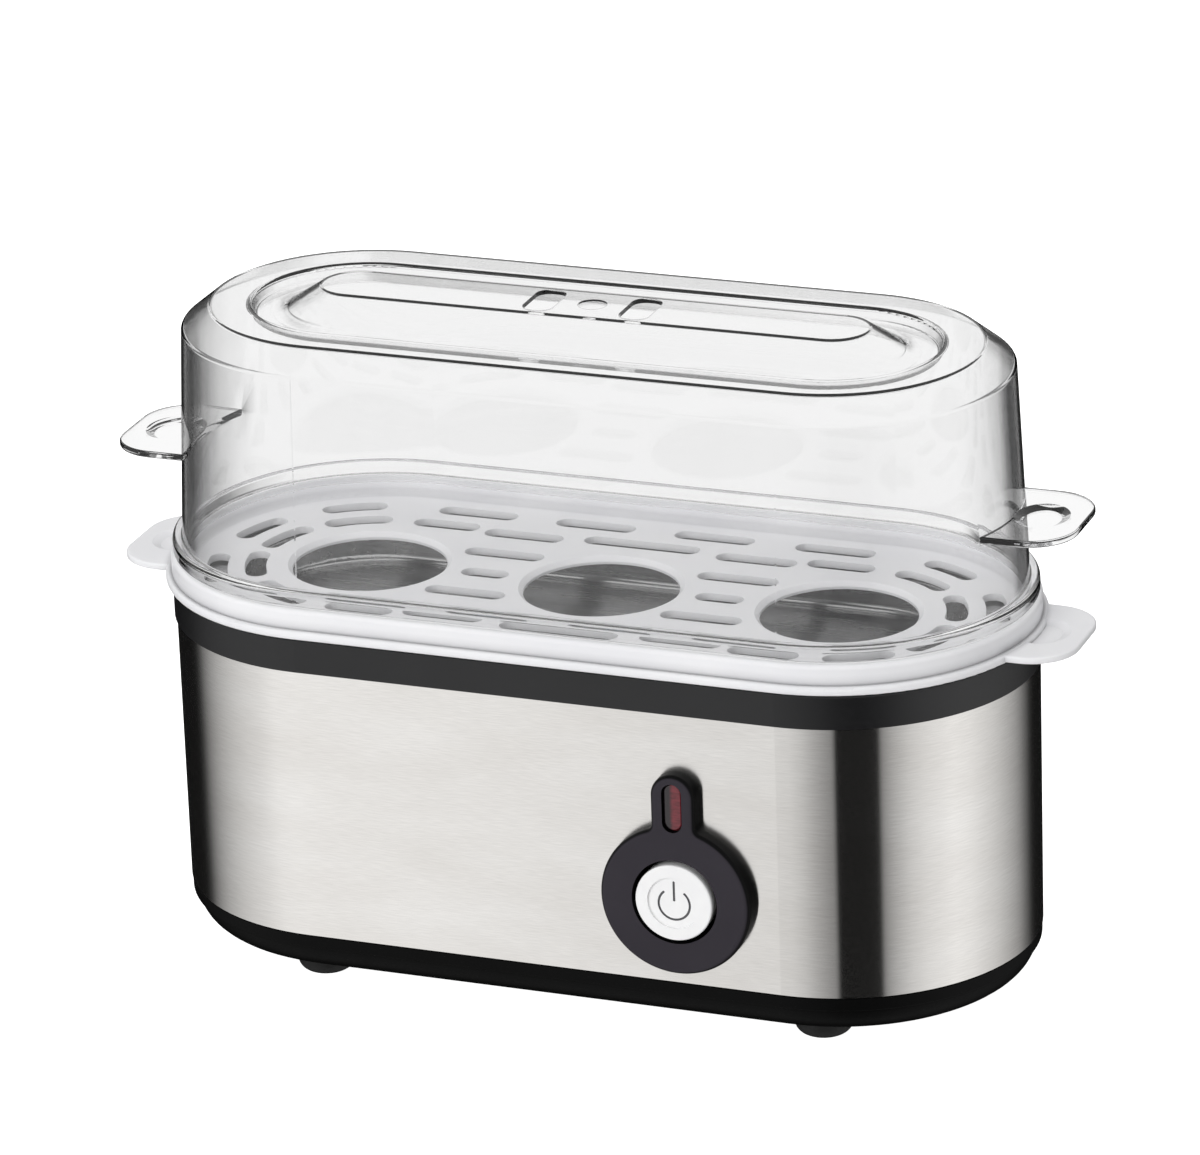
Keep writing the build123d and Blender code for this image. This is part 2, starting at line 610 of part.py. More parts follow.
# Long screws that pull base, sleeve and ring together from below
base_screws = turned(
    screw_profile(SCREW_RADIUS, SCREW_HEAD_RADIUS, SCREW_HEAD_HEIGHT, SCREW_LENGTH, BASE_Z + SCREW_SINK, 1),
    FOUR_PILLARS,
)
keep(base_screws, "base_screws")

# Heating plate: the pressed steel pan with welded studs under its floor
with BuildPart() as heating_plate:
    around_plan(
        [
            (0, PAN_FLOOR, 0),
            (PAN_RADIUS - PAN_TAPER - PAN_SHEET, PAN_FLOOR, PAN_ROUNDING),
            (PAN_RADIUS - PAN_SHEET, PAN_TOP, PAN_LIP_ROUNDING),
            (PAN_FLANGE_RADIUS, PAN_TOP, 0),
            (PAN_FLANGE_RADIUS, PAN_RIM_Z, 0),
            (PAN_RADIUS, PAN_RIM_Z, 0),
            (PAN_RADIUS - PAN_TAPER, PAN_UNDER, PAN_ROUNDING + PAN_SHEET),
            (0, PAN_UNDER, 0),
        ]
    )
    with BuildSketch(Plane.XY.offset(PAN_UNDER + PAN_SHEET / 2)):
        with Locations(*CLAMP_STUDS, *EAR_HOLES, EARTH_STUD):
            Circle(STUD_RADIUS)
    extrude(amount=-(PAN_SHEET / 2 + 2 * ELEMENT_RADIUS + CLAMP_THICKNESS + NUT_HEIGHT + STUD_TIP))
    with Locations(*[(x, y, PAN_TOP) for x, y in FOUR_PAN_SCREWS]):
        CounterSinkHole(
            PAN_SCREW_RADIUS + HOLE_GAP, PAN_SCREW_HEAD + HOLE_GAP, counter_sink_angle=COUNTERSINK_ANGLE
        )
keep(heating_plate.part, "heating_plate")

# Flat silicone seal between the pan's flange and the ring's shelf
with BuildPart() as pan_seal:
    with BuildSketch(Plane.XY.offset(SHELF_Z)):
        SlotCenterToCenter(2 * END_CENTRE, 2 * (PAN_SCREW_Y + SEAL_WIDTH / 2))
        SlotCenterToCenter(2 * END_CENTRE, 2 * (PAN_SCREW_Y - SEAL_WIDTH / 2), mode=Mode.SUBTRACT)
        with Locations(*FOUR_PAN_SCREWS):
            Circle(PAN_SCREW_HEAD, mode=Mode.SUBTRACT)
    extrude(amount=SEAL_THICKNESS)
keep(pan_seal.part, "pan_seal")

# Countersunk screws through the pan's flange into the ring
PAN_SCREW_CONE = (PAN_SCREW_HEAD - PAN_SCREW_RADIUS) / tan(radians(COUNTERSINK_ANGLE / 2))
pan_screws = turned(
    [
        (0, PAN_TOP),
        (PAN_SCREW_HEAD, PAN_TOP),
        (PAN_SCREW_RADIUS, PAN_TOP - PAN_SCREW_CONE),
        (PAN_SCREW_RADIUS, PAN_TOP - PAN_SCREW_LENGTH),
        (0, PAN_TOP - PAN_SCREW_LENGTH),
    ],
    FOUR_PAN_SCREWS,
)
keep(pan_screws, "pan_screws")

# Heating element: a sheathed U under the pan with a cold pin at each end
with BuildPart() as heating_element:
    with BuildLine(Plane.XY.offset(ELEMENT_Z)) as bend:
        Line((ELEMENT_RUN, ELEMENT_Y), (-ELEMENT_RUN, ELEMENT_Y))
        CenterArc((-ELEMENT_RUN, 0), ELEMENT_Y, 90, 180)
        Line((-ELEMENT_RUN, -ELEMENT_Y), (ELEMENT_RUN, -ELEMENT_Y))
    with BuildSketch(Plane(origin=(ELEMENT_RUN, ELEMENT_Y, ELEMENT_Z), z_dir=(-1, 0, 0))):
        Circle(ELEMENT_RADIUS)
    sweep()
    with BuildSketch(Plane(origin=(ELEMENT_RUN, 0, ELEMENT_Z), x_dir=(0, 1, 0), z_dir=(1, 0, 0))):
        with Locations((-ELEMENT_Y, 0), (ELEMENT_Y, 0)):
            Circle(PIN_RADIUS)
    extrude(amount=PIN_LENGTH)
keep(heating_element.part, "heating_element")

# Bars that press the element against the pan, and their nuts
CLAMP_TOP = ELEMENT_Z - ELEMENT_RADIUS - HOLE_GAP
with BuildPart() as element_clamps:
    with BuildSketch(Plane.XY.offset(CLAMP_TOP)):
        with Locations(*CLAMP_STUDS):
            RectangleRounded(CLAMP_WIDTH, 2 * (ELEMENT_Y + CLAMP_OVERLAP), CLAMP_CORNER)
            Circle(STUD_RADIUS + HOLE_GAP, mode=Mode.SUBTRACT)
    extrude(amount=-CLAMP_THICKNESS)
keep(element_clamps.part, "element_clamps")
clamp_nuts = nuts(CLAMP_STUDS, CLAMP_TOP - CLAMP_THICKNESS)
keep(clamp_nuts, "clamp_nuts")

# Thermostat: a round body pressed against the pan by its ears, with two blades below
THERMOSTAT_TOP = PAN_UNDER - HOLE_GAP
THERMOSTAT_BOTTOM = THERMOSTAT_TOP - THERMOSTAT_HEIGHT
BLADE_END = THERMOSTAT_BOTTOM - BLADE_LENGTH
with BuildPart() as thermostat:
    with BuildSketch(Plane.XY.offset(THERMOSTAT_BOTTOM)):
        Circle(THERMOSTAT_RADIUS)
    extrude(amount=THERMOSTAT_HEIGHT)
    chamfer(thermostat.edges().group_by(Axis.Z)[-1], THERMOSTAT_CHAMFER)
    with BuildSketch(Plane.XY.offset(PAN_UNDER - EAR_DROP)):
        SlotCenterToCenter(2 * EAR_HOLE_X, EAR_WIDTH)
        with Locations(*EAR_HOLES):
            Circle(STUD_RADIUS + HOLE_GAP, mode=Mode.SUBTRACT)
    extrude(amount=-EAR_THICKNESS)
    with BuildSketch(Plane.XY.offset(THERMOSTAT_BOTTOM)):
        with Locations((-BLADE_X, 0), (BLADE_X, 0)):
            Rectangle(BLADE_THICKNESS, BLADE_WIDTH)
    extrude(amount=-BLADE_LENGTH)
keep(thermostat.part, "thermostat")
thermostat_nuts = nuts(EAR_HOLES, PAN_UNDER - EAR_DROP - EAR_THICKNESS)
keep(thermostat_nuts, "thermostat_nuts")

# Thermal fuse in a saddle clip under the pan, on the element's level
NEUTRAL_DROP_X = CLAMP_X + CLAMP_WIDTH / 2 + SIDE_GAP + LEAD_RADIUS
FUSE_START = NEUTRAL_DROP_X + LEAD_BEND
FUSE_X = FUSE_START + FUSE_WIRE + FUSE_LENGTH / 2
FUSE_END = FUSE_X + FUSE_LENGTH / 2 + FUSE_WIRE
FUSE_AXIS = Plane(origin=(FUSE_X, 0, ELEMENT_Z), x_dir=(0, 1, 0), z_dir=(1, 0, 0))
with BuildPart() as thermal_fuse:
    with BuildSketch(FUSE_AXIS):
        Circle(FUSE_RADIUS)
    extrude(amount=FUSE_LENGTH / 2, both=True)
    with BuildSketch(FUSE_AXIS):
        Circle(FUSE_WIRE_RADIUS)
    extrude(amount=FUSE_LENGTH / 2 + FUSE_WIRE, both=True)
keep(thermal_fuse.part, "thermal_fuse")
with BuildPart() as fuse_clip:
    with BuildSketch(FUSE_AXIS):
        Rectangle(2 * (FUSE_RADIUS + CLIP_WALL), 2 * (PAN_UNDER - ELEMENT_Z))
        Circle(FUSE_RADIUS + RUNNING_GAP, mode=Mode.SUBTRACT)
    extrude(amount=CLIP_LENGTH / 2, both=True)
keep(fuse_clip.part, "fuse_clip")

# Egg tray: a shallow dish with three seats, drain slots, a stepped rim and a tab at each end
with BuildPart() as tray_tabs:
    add(tab_plate(TRAY_TAB_Z, TRAY_TAB_THICKNESS))
    with BuildSketch(Plane.XY.offset(TRAY_TAB_Z)):
        SlotCenterToCenter(2 * END_CENTRE, 2 * (LIP_RADIUS - LIP_WALL / 2))
    extrude(amount=TRAY_TAB_THICKNESS, mode=Mode.SUBTRACT)
with BuildPart() as egg_tray:
    around_plan(
        [
            (0, TRAY_Z, 0),
            (DISH_RADIUS, TRAY_Z, DISH_ROUNDING),
            (DISH_RADIUS, LIP_Z, LIP_INNER_ROUNDING),
            (LIP_RADIUS, LIP_Z, LIP_ROUNDING),
            (LIP_RADIUS, FLANGE_TOP, 0),
            (FLANGE_RADIUS, FLANGE_TOP, FLANGE_ROUNDING),
            (FLANGE_RADIUS, FLANGE_Z, FLANGE_FOOT_ROUNDING),
            (TRAY_SKIRT_RADIUS, FLANGE_Z, 0),
            (TRAY_SKIRT_RADIUS, FLANGE_Z - TRAY_SKIRT_DEPTH, 0),
            (TRAY_SKIRT_RADIUS - TRAY_SKIRT_WALL, FLANGE_Z - TRAY_SKIRT_DEPTH, 0),
            (TRAY_SKIRT_RADIUS - TRAY_SKIRT_WALL, TRAY_Z - TRAY_FLOOR, 0),
            (0, TRAY_Z - TRAY_FLOOR, 0),
        ]
    )
    add(tray_tabs.part)
    with BuildSketch(Plane.XY.offset(TRAY_Z)):
        with Locations(*SEATS):
            Circle(SEAT_RADIUS)
    extrude(amount=-TRAY_FLOOR, mode=Mode.SUBTRACT)
    seat_edges = egg_tray.edges().filter_by(lambda edge: edge.geom_type == GeomType.CIRCLE and edge.is_closed)
    chamfer(seat_edges.filter_by(lambda edge: edge.center().Z > TRAY_Z - TRAY_FLOOR / 2), SEAT_CHAMFER)
    with BuildSketch(Plane.XY.offset(TRAY_Z)):
        for side in (-1, 1):
            with Locations((side * END_CENTRE / 2, 0)):
                SlotOverall(BRIDGE_SLOT_SHORT, SLOT_WIDTH)
            with Locations(*[(side * END_CENTRE / 2, row * BRIDGE_PITCH) for row in (-2, -1, 1, 2)]):
                SlotOverall(BRIDGE_SLOT_LONG, SLOT_WIDTH)
            with Locations((0, side * INNER_ROW)):
                SlotOverall(FRONT_SLOT, SLOT_WIDTH)
            with Locations((-SIDE_SLOT_X, side * INNER_ROW), (SIDE_SLOT_X, side * INNER_ROW)):
                SlotOverall(SIDE_SLOT, SLOT_WIDTH)
            with Locations(*[(step * OUTER_SLOT_X, side * OUTER_ROW) for step in (-3, -1, 1, 3)]):
                SlotOverall(OUTER_SLOT, SLOT_WIDTH)
    extrude(amount=-TRAY_FLOOR, mode=Mode.SUBTRACT)
    for row, angles, span in ((INNER_ROW, INNER_ARCS, INNER_ARC_SPAN), (OUTER_ROW, OUTER_ARCS, OUTER_ARC_SPAN)):
        for angle in angles:
            for middle in (angle, -angle, 180 - angle, 180 + angle):
                end_x = END_CENTRE if cos(radians(middle)) > 0 else -END_CENTRE
                with BuildSketch(Plane.XY.offset(TRAY_Z)) as curved_slot:
                    SlotArc(CenterArc((end_x, 0), row, middle - span / 2, span), SLOT_WIDTH)
                extrude(amount=-TRAY_FLOOR, mode=Mode.SUBTRACT)
keep(egg_tray.part, "egg_tray")

# Lid: a clear drafted cover with a bevelled top, a trough, a vented ridge, a rim and a tab at each end
LID_OUTLINE = [
    (0, RIDGE_Z),
    (RIDGE_HALF_WIDTH, RIDGE_Z),
    (RIDGE_HALF_WIDTH + RIDGE_SLOPE, TROUGH_Z),
    (TROUGH_RADIUS - TROUGH_SLOPE, TROUGH_Z),
    (TROUGH_RADIUS, FLAT_Z),
    (FLAT_RADIUS, FLAT_Z),
    (CREASE_RADIUS, CREASE_Z),
    (LID_FOOT_RADIUS, LID_RIM_TOP),
]
LID_ROUNDINGS = [
    0,
    RIDGE_ROUNDING,
    RIDGE_FOOT_ROUNDING,
    TROUGH_ROUNDING,
    TROUGH_ROUNDING,
    FLAT_ROUNDING,
    CREASE_ROUNDING,
    WALL_FOOT_ROUNDING,
]
LID_BOTTOM = LID_RIM_Z - LID_SKIRT_DEPTH
with BuildPart() as lid:
    around_plan(
        [(r, z, rounding) for (r, z), rounding in zip(LID_OUTLINE, LID_ROUNDINGS)]
        + [
            (LID_RIM_RADIUS, LID_RIM_TOP, RIM_ROUNDING),
            (LID_RIM_RADIUS, LID_RIM_Z, RIM_FOOT_ROUNDING),
            (LID_SKIRT_RADIUS, LID_RIM_Z, 0),
            (LID_SKIRT_RADIUS, LID_BOTTOM, 0),
            (0, LID_BOTTOM, 0),
        ]
    )
    add(tab_plate(LID_TAB_Z, LID_TAB_THICKNESS))
    around_plan(
        [(r, z, rounding) for (r, z), rounding in zip(inset(LID_OUTLINE, LID_WALL), LID_ROUNDINGS[:-1] + [0])]
        + [(LID_SKIRT_RADIUS - LID_WALL, LID_BOTTOM, 0), (0, LID_BOTTOM, 0)],
        mode=Mode.SUBTRACT,
    )
    with BuildSketch(Plane.XY.offset(RIDGE_Z)):
        with Locations((-VENT_X, 0), (VENT_X, 0)):
            RectangleRounded(VENT_WIDTH, VENT_LENGTH, VENT_CORNER)
    extrude(amount=-2 * LID_WALL, mode=Mode.SUBTRACT)
    with BuildSketch(Plane.XY.offset(RIDGE_Z)):
        Circle(DIMPLE_RADIUS)
    extrude(amount=-DIMPLE_DEPTH, mode=Mode.SUBTRACT)
keep(lid.part, "lid")

# Control plate: a hollow black disc and tongue, with a collar and two bosses through the sleeve
with BuildPart() as control_plate:
    extrude(plate_sketch(0), amount=PLATE_PROUD)
    fillet(control_plate.faces().sort_by(Axis.Y)[0].edges(), PLATE_ROUNDING)
    extrude(plate_sketch(-PLATE_SKIN), amount=PLATE_PROUD - PLATE_SKIN, mode=Mode.SUBTRACT)
    with BuildSketch(FRONT.offset(PLATE_PROUD - PLATE_SKIN)):
        Circle(BUTTON_WELL + COLLAR_WALL)
        with Locations(*PLATE_BOSSES):
            Circle(BOSS_RADIUS)
    extrude(amount=-(PLATE_PROUD - PLATE_SKIN + COLLAR_DEPTH))
    with BuildSketch(FRONT.offset(PLATE_PROUD)):
        Circle(BUTTON_WELL)
        with Locations((0, LENS_RISE)):
            SlotOverall(LENS_HEIGHT + 2 * LENS_GAP, LENS_WIDTH + 2 * LENS_GAP, rotation=90)
    extrude(amount=-(PLATE_PROUD + COLLAR_DEPTH), mode=Mode.SUBTRACT)
    with BuildSketch(FRONT.offset(-COLLAR_DEPTH)):
        with Locations(*PLATE_BOSSES):
            Circle(PLATE_SCREW_RADIUS + RUNNING_GAP)
    extrude(amount=PLATE_SCREW_LENGTH - BRACKET_THICKNESS + SLIP_GAP, mode=Mode.SUBTRACT)
keep(control_plate.part, "control_plate")

# Bracket behind the sleeve that the plate is screwed to and that carries lamp and switch
BRACKET_BACK = -COLLAR_DEPTH - BRACKET_THICKNESS
LAMP_WIRE_RISE = BUTTON_WELL + COLLAR_WALL + SIDE_GAP
with BuildPart() as switch_bracket:
    with BuildSketch(FRONT.offset(-COLLAR_DEPTH)):
        with Locations((0, (BRACKET_RISE - BRACKET_DROP) / 2)):
            RectangleRounded(BRACKET_WIDTH, BRACKET_RISE + BRACKET_DROP, BRACKET_CORNER)
        Circle(STEM_RADIUS + RUNNING_GAP, mode=Mode.SUBTRACT)
        with Locations(*PLATE_BOSSES):
            Circle(PLATE_SCREW_RADIUS + HOLE_GAP, mode=Mode.SUBTRACT)
        with Locations((-LAMP_WIRE_X, LAMP_WIRE_RISE), (LAMP_WIRE_X, LAMP_WIRE_RISE)):
            Circle(LAMP_WIRE_RADIUS + HOLE_GAP, mode=Mode.SUBTRACT)
    extrude(amount=-BRACKET_THICKNESS)
keep(switch_bracket.part, "switch_bracket")

# Screws from inside through the bracket into the plate's bosses
plate_screws = turned(
    screw_profile(
        PLATE_SCREW_RADIUS, PLATE_SCREW_HEAD, PLATE_SCREW_HEAD_HEIGHT, PLATE_SCREW_LENGTH, BRACKET_BACK, 1
    ),
    PLATE_BOSSES,
    FRONT,
)
keep(plate_screws, "plate_screws")

# Power button: a dished cap with an engraved standby mark, on a stem
CAP_BACK = PLATE_PROUD + BUTTON_PROUD - BUTTON_DEPTH
mark_ring = CenterArc((0, -MARK_DROP), MARK_RADIUS, 90 + MARK_OPENING / 2, 360 - MARK_OPENING)
with BuildPart() as power_button:
    with BuildSketch(FRONT.offset(CAP_BACK)):
        Circle(BUTTON_RADIUS)
    extrude(amount=BUTTON_DEPTH)
    fillet(power_button.faces().sort_by(Axis.Y)[0].edges(), BUTTON_ROUNDING)
    with BuildSketch(FRONT.offset(CAP_BACK + BUTTON_DEPTH)):
        Circle(BUTTON_DISH_RADIUS)
    extrude(amount=-BUTTON_DISH_DEPTH, mode=Mode.SUBTRACT)
    with BuildSketch(FRONT.offset(CAP_BACK + BUTTON_DEPTH - BUTTON_DISH_DEPTH)):
        SlotArc(mark_ring, MARK_LINE)
        with Locations((0, (MARK_BAR_FROM + MARK_BAR_TO) / 2 - MARK_DROP)):
            SlotOverall(MARK_BAR_TO - MARK_BAR_FROM, MARK_LINE, rotation=90)
    extrude(amount=-MARK_DEPTH, mode=Mode.SUBTRACT)
    with BuildSketch(FRONT.offset(CAP_BACK)):
        Circle(STEM_RADIUS)
    extrude(amount=BRACKET_BACK - STEM_ENGAGE - CAP_BACK)
keep(power_button.part, "power_button")

# Return spring between the bracket and the cap: quarter turns, each a tangent arc
SPRING_FOOT = -COLLAR_DEPTH + SPRING_WIRE + SPRING_SEAT
SPRING_HEAD = CAP_BACK - SPRING_WIRE - SPRING_SEAT
SPRING_PITCH = (SPRING_HEAD - SPRING_FOOT) / SPRING_TURNS


def spring_point(quarter):
    """Point on the spring's centre line after a number of quarter turns."""
    angle = quarter * pi / 2
    height = SPRING_FOOT + SPRING_PITCH * quarter / 4
    return FRONT.from_local_coords(Vector(SPRING_RADIUS * cos(angle), SPRING_RADIUS * sin(angle), height))


with BuildPart() as button_spring:
    with BuildLine() as coil:
        heading = FRONT.from_local_coords(Vector(0, 2 * pi * SPRING_RADIUS, SPRING_PITCH)) - FRONT.origin
        for quarter in range(4 * SPRING_TURNS):
            arc = TangentArc(spring_point(quarter), spring_point(quarter + 1), tangent=heading)
            heading = arc % 1
    with BuildSketch(Plane(origin=coil.line @ 0, z_dir=coil.line % 0)):
        Circle(SPRING_WIRE)
    sweep()
keep(button_spring.part, "button_spring")
coil_points = [coil.line @ (step / 400) for step in range(401)]
half_turn = 400 // (2 * SPRING_TURNS)
least_gap = min(
    (coil_points[i] - coil_points[j]).length for i in range(401) for j in range(i + half_turn, 401)
)
print("least gap between turns of the button spring:", round(least_gap - 2 * SPRING_WIRE, 2), "mm")

# Switch: a latching block behind the bracket, with two blades at its back
with BuildPart() as power_switch:
    with BuildSketch(FRONT.offset(BRACKET_BACK)):
        RectangleRounded(SWITCH_SIDE, SWITCH_SIDE, SWITCH_CORNER)
    extrude(amount=-SWITCH_DEPTH)
    with BuildSketch(FRONT.offset(BRACKET_BACK)):
        Circle(STEM_RADIUS + SLIP_GAP)
    extrude(amount=-SWITCH_BORE_DEPTH, mode=Mode.SUBTRACT)
    with BuildSketch(FRONT.offset(BRACKET_BACK - SWITCH_DEPTH)):
        with Locations((0, -SWITCH_BLADE_OFFSET), (0, SWITCH_BLADE_OFFSET)):
            Rectangle(BLADE_WIDTH, BLADE_THICKNESS)
    extrude(amount=-SWITCH_BLADE)
keep(power_switch.part, "power_switch")

# Indicator: a red lens held by a flange behind the tongue, and a neon lamp behind the sleeve's window
with BuildPart() as indicator_lens:
    with BuildSketch(FRONT.offset(PLATE_PROUD - PLATE_SKIN)):
        with Locations((0, LENS_RISE)):
            SlotOverall(LENS_HEIGHT, LENS_WIDTH, rotation=90)
    extrude(amount=PLATE_SKIN - LENS_RECESS)
    fillet(indicator_lens.faces().sort_by(Axis.Y)[0].edges(), LENS_ROUNDING)
    with BuildSketch(FRONT.offset(PLATE_PROUD - PLATE_SKIN)):
        with Locations((0, LENS_RISE)):
            SlotOverall(LENS_HEIGHT + 2 * LENS_FLANGE, LENS_WIDTH + 2 * LENS_FLANGE, rotation=90)
    extrude(amount=-LENS_FLANGE_THICKNESS)
keep(indicator_lens.part, "indicator_lens")
LAMP_FOOT = LENS_RISE - LAMP_LENGTH / 2
LAMP_BACK = -COLLAR_DEPTH + LAMP_GAP + LAMP_RADIUS
with BuildPart() as indicator_lamp:
    lamp_foot = FRONT.from_local_coords(Vector(0, LAMP_FOOT, LAMP_BACK))
    with BuildSketch(Plane(origin=lamp_foot, z_dir=(0, 0, 1))):
        Circle(LAMP_RADIUS)
    extrude(amount=LAMP_LENGTH)
    fillet(indicator_lamp.edges().group_by(Axis.Z)[-1], LAMP_ROUNDING)
keep(indicator_lamp.part, "indicator_lamp")
for name, x in (("lamp_lead_left", -LAMP_WIRE_X), ("lamp_lead_right", LAMP_WIRE_X)):
    route = [
        Vector(x, LAMP_FOOT, LAMP_BACK),
        Vector(x, LAMP_WIRE_RISE, LAMP_BACK),
        Vector(x, LAMP_WIRE_RISE, BRACKET_BACK - LAMP_WIRE_BACK),
        Vector(x, SWITCH_SIDE / 2, BRACKET_BACK - LAMP_WIRE_BACK),
    ]
    points = [FRONT.from_local_coords(point) for point in route]
    keep(lead(points, radius=LAMP_WIRE_RADIUS, bend=LAMP_WIRE_BEND), name)

# Terminal block on the base's floor and its two screws
BLOCK_TOP = FLOOR_Z + BLOCK_HEIGHT
with BuildPart() as terminal_block:
    with BuildSketch(Plane.XY.offset(FLOOR_Z)):
        with Locations((BLOCK_X, BLOCK_Y)):
            RectangleRounded(BLOCK_LENGTH, BLOCK_WIDTH, BLOCK_CORNER)
    extrude(amount=BLOCK_HEIGHT)
    with Locations(*[(x, y, BLOCK_TOP) for x, y in BLOCK_SCREWS]):
        CounterBoreHole(BLOCK_SCREW_RADIUS + HOLE_GAP, BLOCK_SCREW_HEAD + HOLE_GAP, BLOCK_SCREW_SINK)
keep(terminal_block.part, "terminal_block")
terminal_screws = turned(
    screw_profile(
        BLOCK_SCREW_RADIUS,
        BLOCK_SCREW_HEAD,
        BLOCK_SCREW_HEAD_HEIGHT,
        BLOCK_HEIGHT - BLOCK_SCREW_SINK + BASE_FLOOR - HOLE_GAP,
        BLOCK_TOP - BLOCK_SCREW_SINK,
        -1,
    ),
    BLOCK_SCREWS,
)
keep(terminal_screws, "terminal_screws")

# Cord gland at the back: a flanged bush with a tapered nose, and the nut that holds it
cord_gland = turned(
    [
        (GLAND_BORE, GLAND_REACH),
        (GLAND_NOSE_RADIUS, GLAND_REACH),
        (GLAND_RADIUS + HOLE_GAP, GLAND_FLANGE),
        (GLAND_FLANGE_RADIUS, GLAND_FLANGE),
        (GLAND_FLANGE_RADIUS, 0),
        (GLAND_RADIUS, 0),
        (GLAND_RADIUS, -GLAND_INNER),
        (GLAND_BORE, -GLAND_INNER),
    ],
    [(0, 0)],
    REAR,
)
keep(cord_gland, "cord_gland")
with BuildPart() as gland_nut:
    with BuildSketch(REAR.offset(-SLEEVE_WALL)):
        RegularPolygon(GLAND_NUT_ACROSS / 2, 6, major_radius=False)
        Circle(GLAND_RADIUS + RUNNING_GAP, mode=Mode.SUBTRACT)
    extrude(amount=-GLAND_NUT_HEIGHT)
keep(gland_nut.part, "gland_nut")

# Earth tag and nut on a stud of the pan, inside the element's bend
EARTH_TOP = PAN_UNDER - EARTH_DROP
EARTH_UNDER = EARTH_TOP - EARTH_TAG_THICKNESS
EARTH_TAIL_X = EARTH_X - EARTH_TAG_REACH
with BuildPart() as earth_tag:
    with BuildSketch(Plane.XY.offset(EARTH_TOP)):
        with Locations(((EARTH_X + EARTH_TAIL_X) / 2, 0)):
            SlotCenterToCenter(EARTH_TAG_REACH, 2 * EARTH_TAG_RADIUS)
        with Locations(EARTH_STUD):
            Circle(STUD_RADIUS + HOLE_GAP, mode=Mode.SUBTRACT)
    extrude(amount=-EARTH_TAG_THICKNESS)
keep(earth_tag.part, "earth_tag")
earth_nut = nuts([EARTH_STUD], EARTH_UNDER)
keep(earth_nut, "earth_nut")

# Leads from terminal to terminal
SWITCH_BACK_Y = -BODY_RADIUS - BRACKET_BACK + SWITCH_DEPTH + SWITCH_BLADE
LOW_BLADE_Z = PLATE_Z - SWITCH_BLADE_OFFSET
HIGH_BLADE_Z = PLATE_Z + SWITCH_BLADE_OFFSET
PIN_END = ELEMENT_RUN + PIN_LENGTH
LEAD_TURN = max(PIN_END, FUSE_END) + 2 * LEAD_BEND
ELEMENT_LEAD_Z = BLADE_END - 2 * LEAD_BEND
EARTH_LEAD_Z = EARTH_UNDER - 2 * LEAD_BEND
LIVE_X = BLOCK_X + BLOCK_PITCH
NEUTRAL_X = BLOCK_X - BLOCK_PITCH
keep(
    lead(
        [
            (LIVE_X, BLOCK_Y, BLOCK_TOP),
            (LIVE_X, BLOCK_Y, LOW_BLADE_Z),
            (PLATE_X, BLOCK_Y, LOW_BLADE_Z),
            (PLATE_X, SWITCH_BACK_Y, LOW_BLADE_Z),
        ]
    ),
    "live_lead",
)
keep(
    lead(
        [
            (PLATE_X, SWITCH_BACK_Y, HIGH_BLADE_Z),
            (PLATE_X, 0, HIGH_BLADE_Z),
            (BLADE_X, 0, HIGH_BLADE_Z),
            (BLADE_X, 0, BLADE_END),
        ]
    ),
    "switch_lead",
)
keep(
    lead(
        [
            (-BLADE_X, 0, BLADE_END),
            (-BLADE_X, 0, ELEMENT_LEAD_Z),
            (-BLADE_X, ELEMENT_Y, ELEMENT_LEAD_Z),
            (LEAD_TURN, ELEMENT_Y, ELEMENT_LEAD_Z),
            (LEAD_TURN, ELEMENT_Y, ELEMENT_Z),
            (PIN_END, ELEMENT_Y, ELEMENT_Z),
        ]
    ),
    "element_lead",
)
keep(
    lead(
        [
            (PIN_END, -ELEMENT_Y, ELEMENT_Z),
            (LEAD_TURN, -ELEMENT_Y, ELEMENT_Z),
            (LEAD_TURN, 0, ELEMENT_Z),
            (FUSE_END, 0, ELEMENT_Z),
        ]
    ),
    "fuse_lead",
)
keep(
    lead(
        [
            (FUSE_START, 0, ELEMENT_Z),
            (NEUTRAL_DROP_X, 0, ELEMENT_Z),
            (NEUTRAL_DROP_X, 0, BLADE_END),
            (NEUTRAL_DROP_X, -ELEMENT_Y, BLADE_END),
            (NEUTRAL_X, -ELEMENT_Y, BLADE_END),
            (NEUTRAL_X, BLOCK_Y, BLADE_END),
            (NEUTRAL_X, BLOCK_Y, BLOCK_TOP),
        ]
    ),
    "neutral_lead",
)
keep(
    lead(
        [
            (BLOCK_X, BLOCK_Y, BLOCK_TOP),
            (BLOCK_X, BLOCK_Y, EARTH_LEAD_Z),
            (EARTH_TAIL_X, BLOCK_Y, EARTH_LEAD_Z),
            (EARTH_TAIL_X, 0, EARTH_LEAD_Z),
            (EARTH_TAIL_X, 0, EARTH_UNDER),
        ]
    ),
    "earth_lead",
)
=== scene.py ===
import math

import bmesh
import bpy
from mathutils import Matrix, Vector


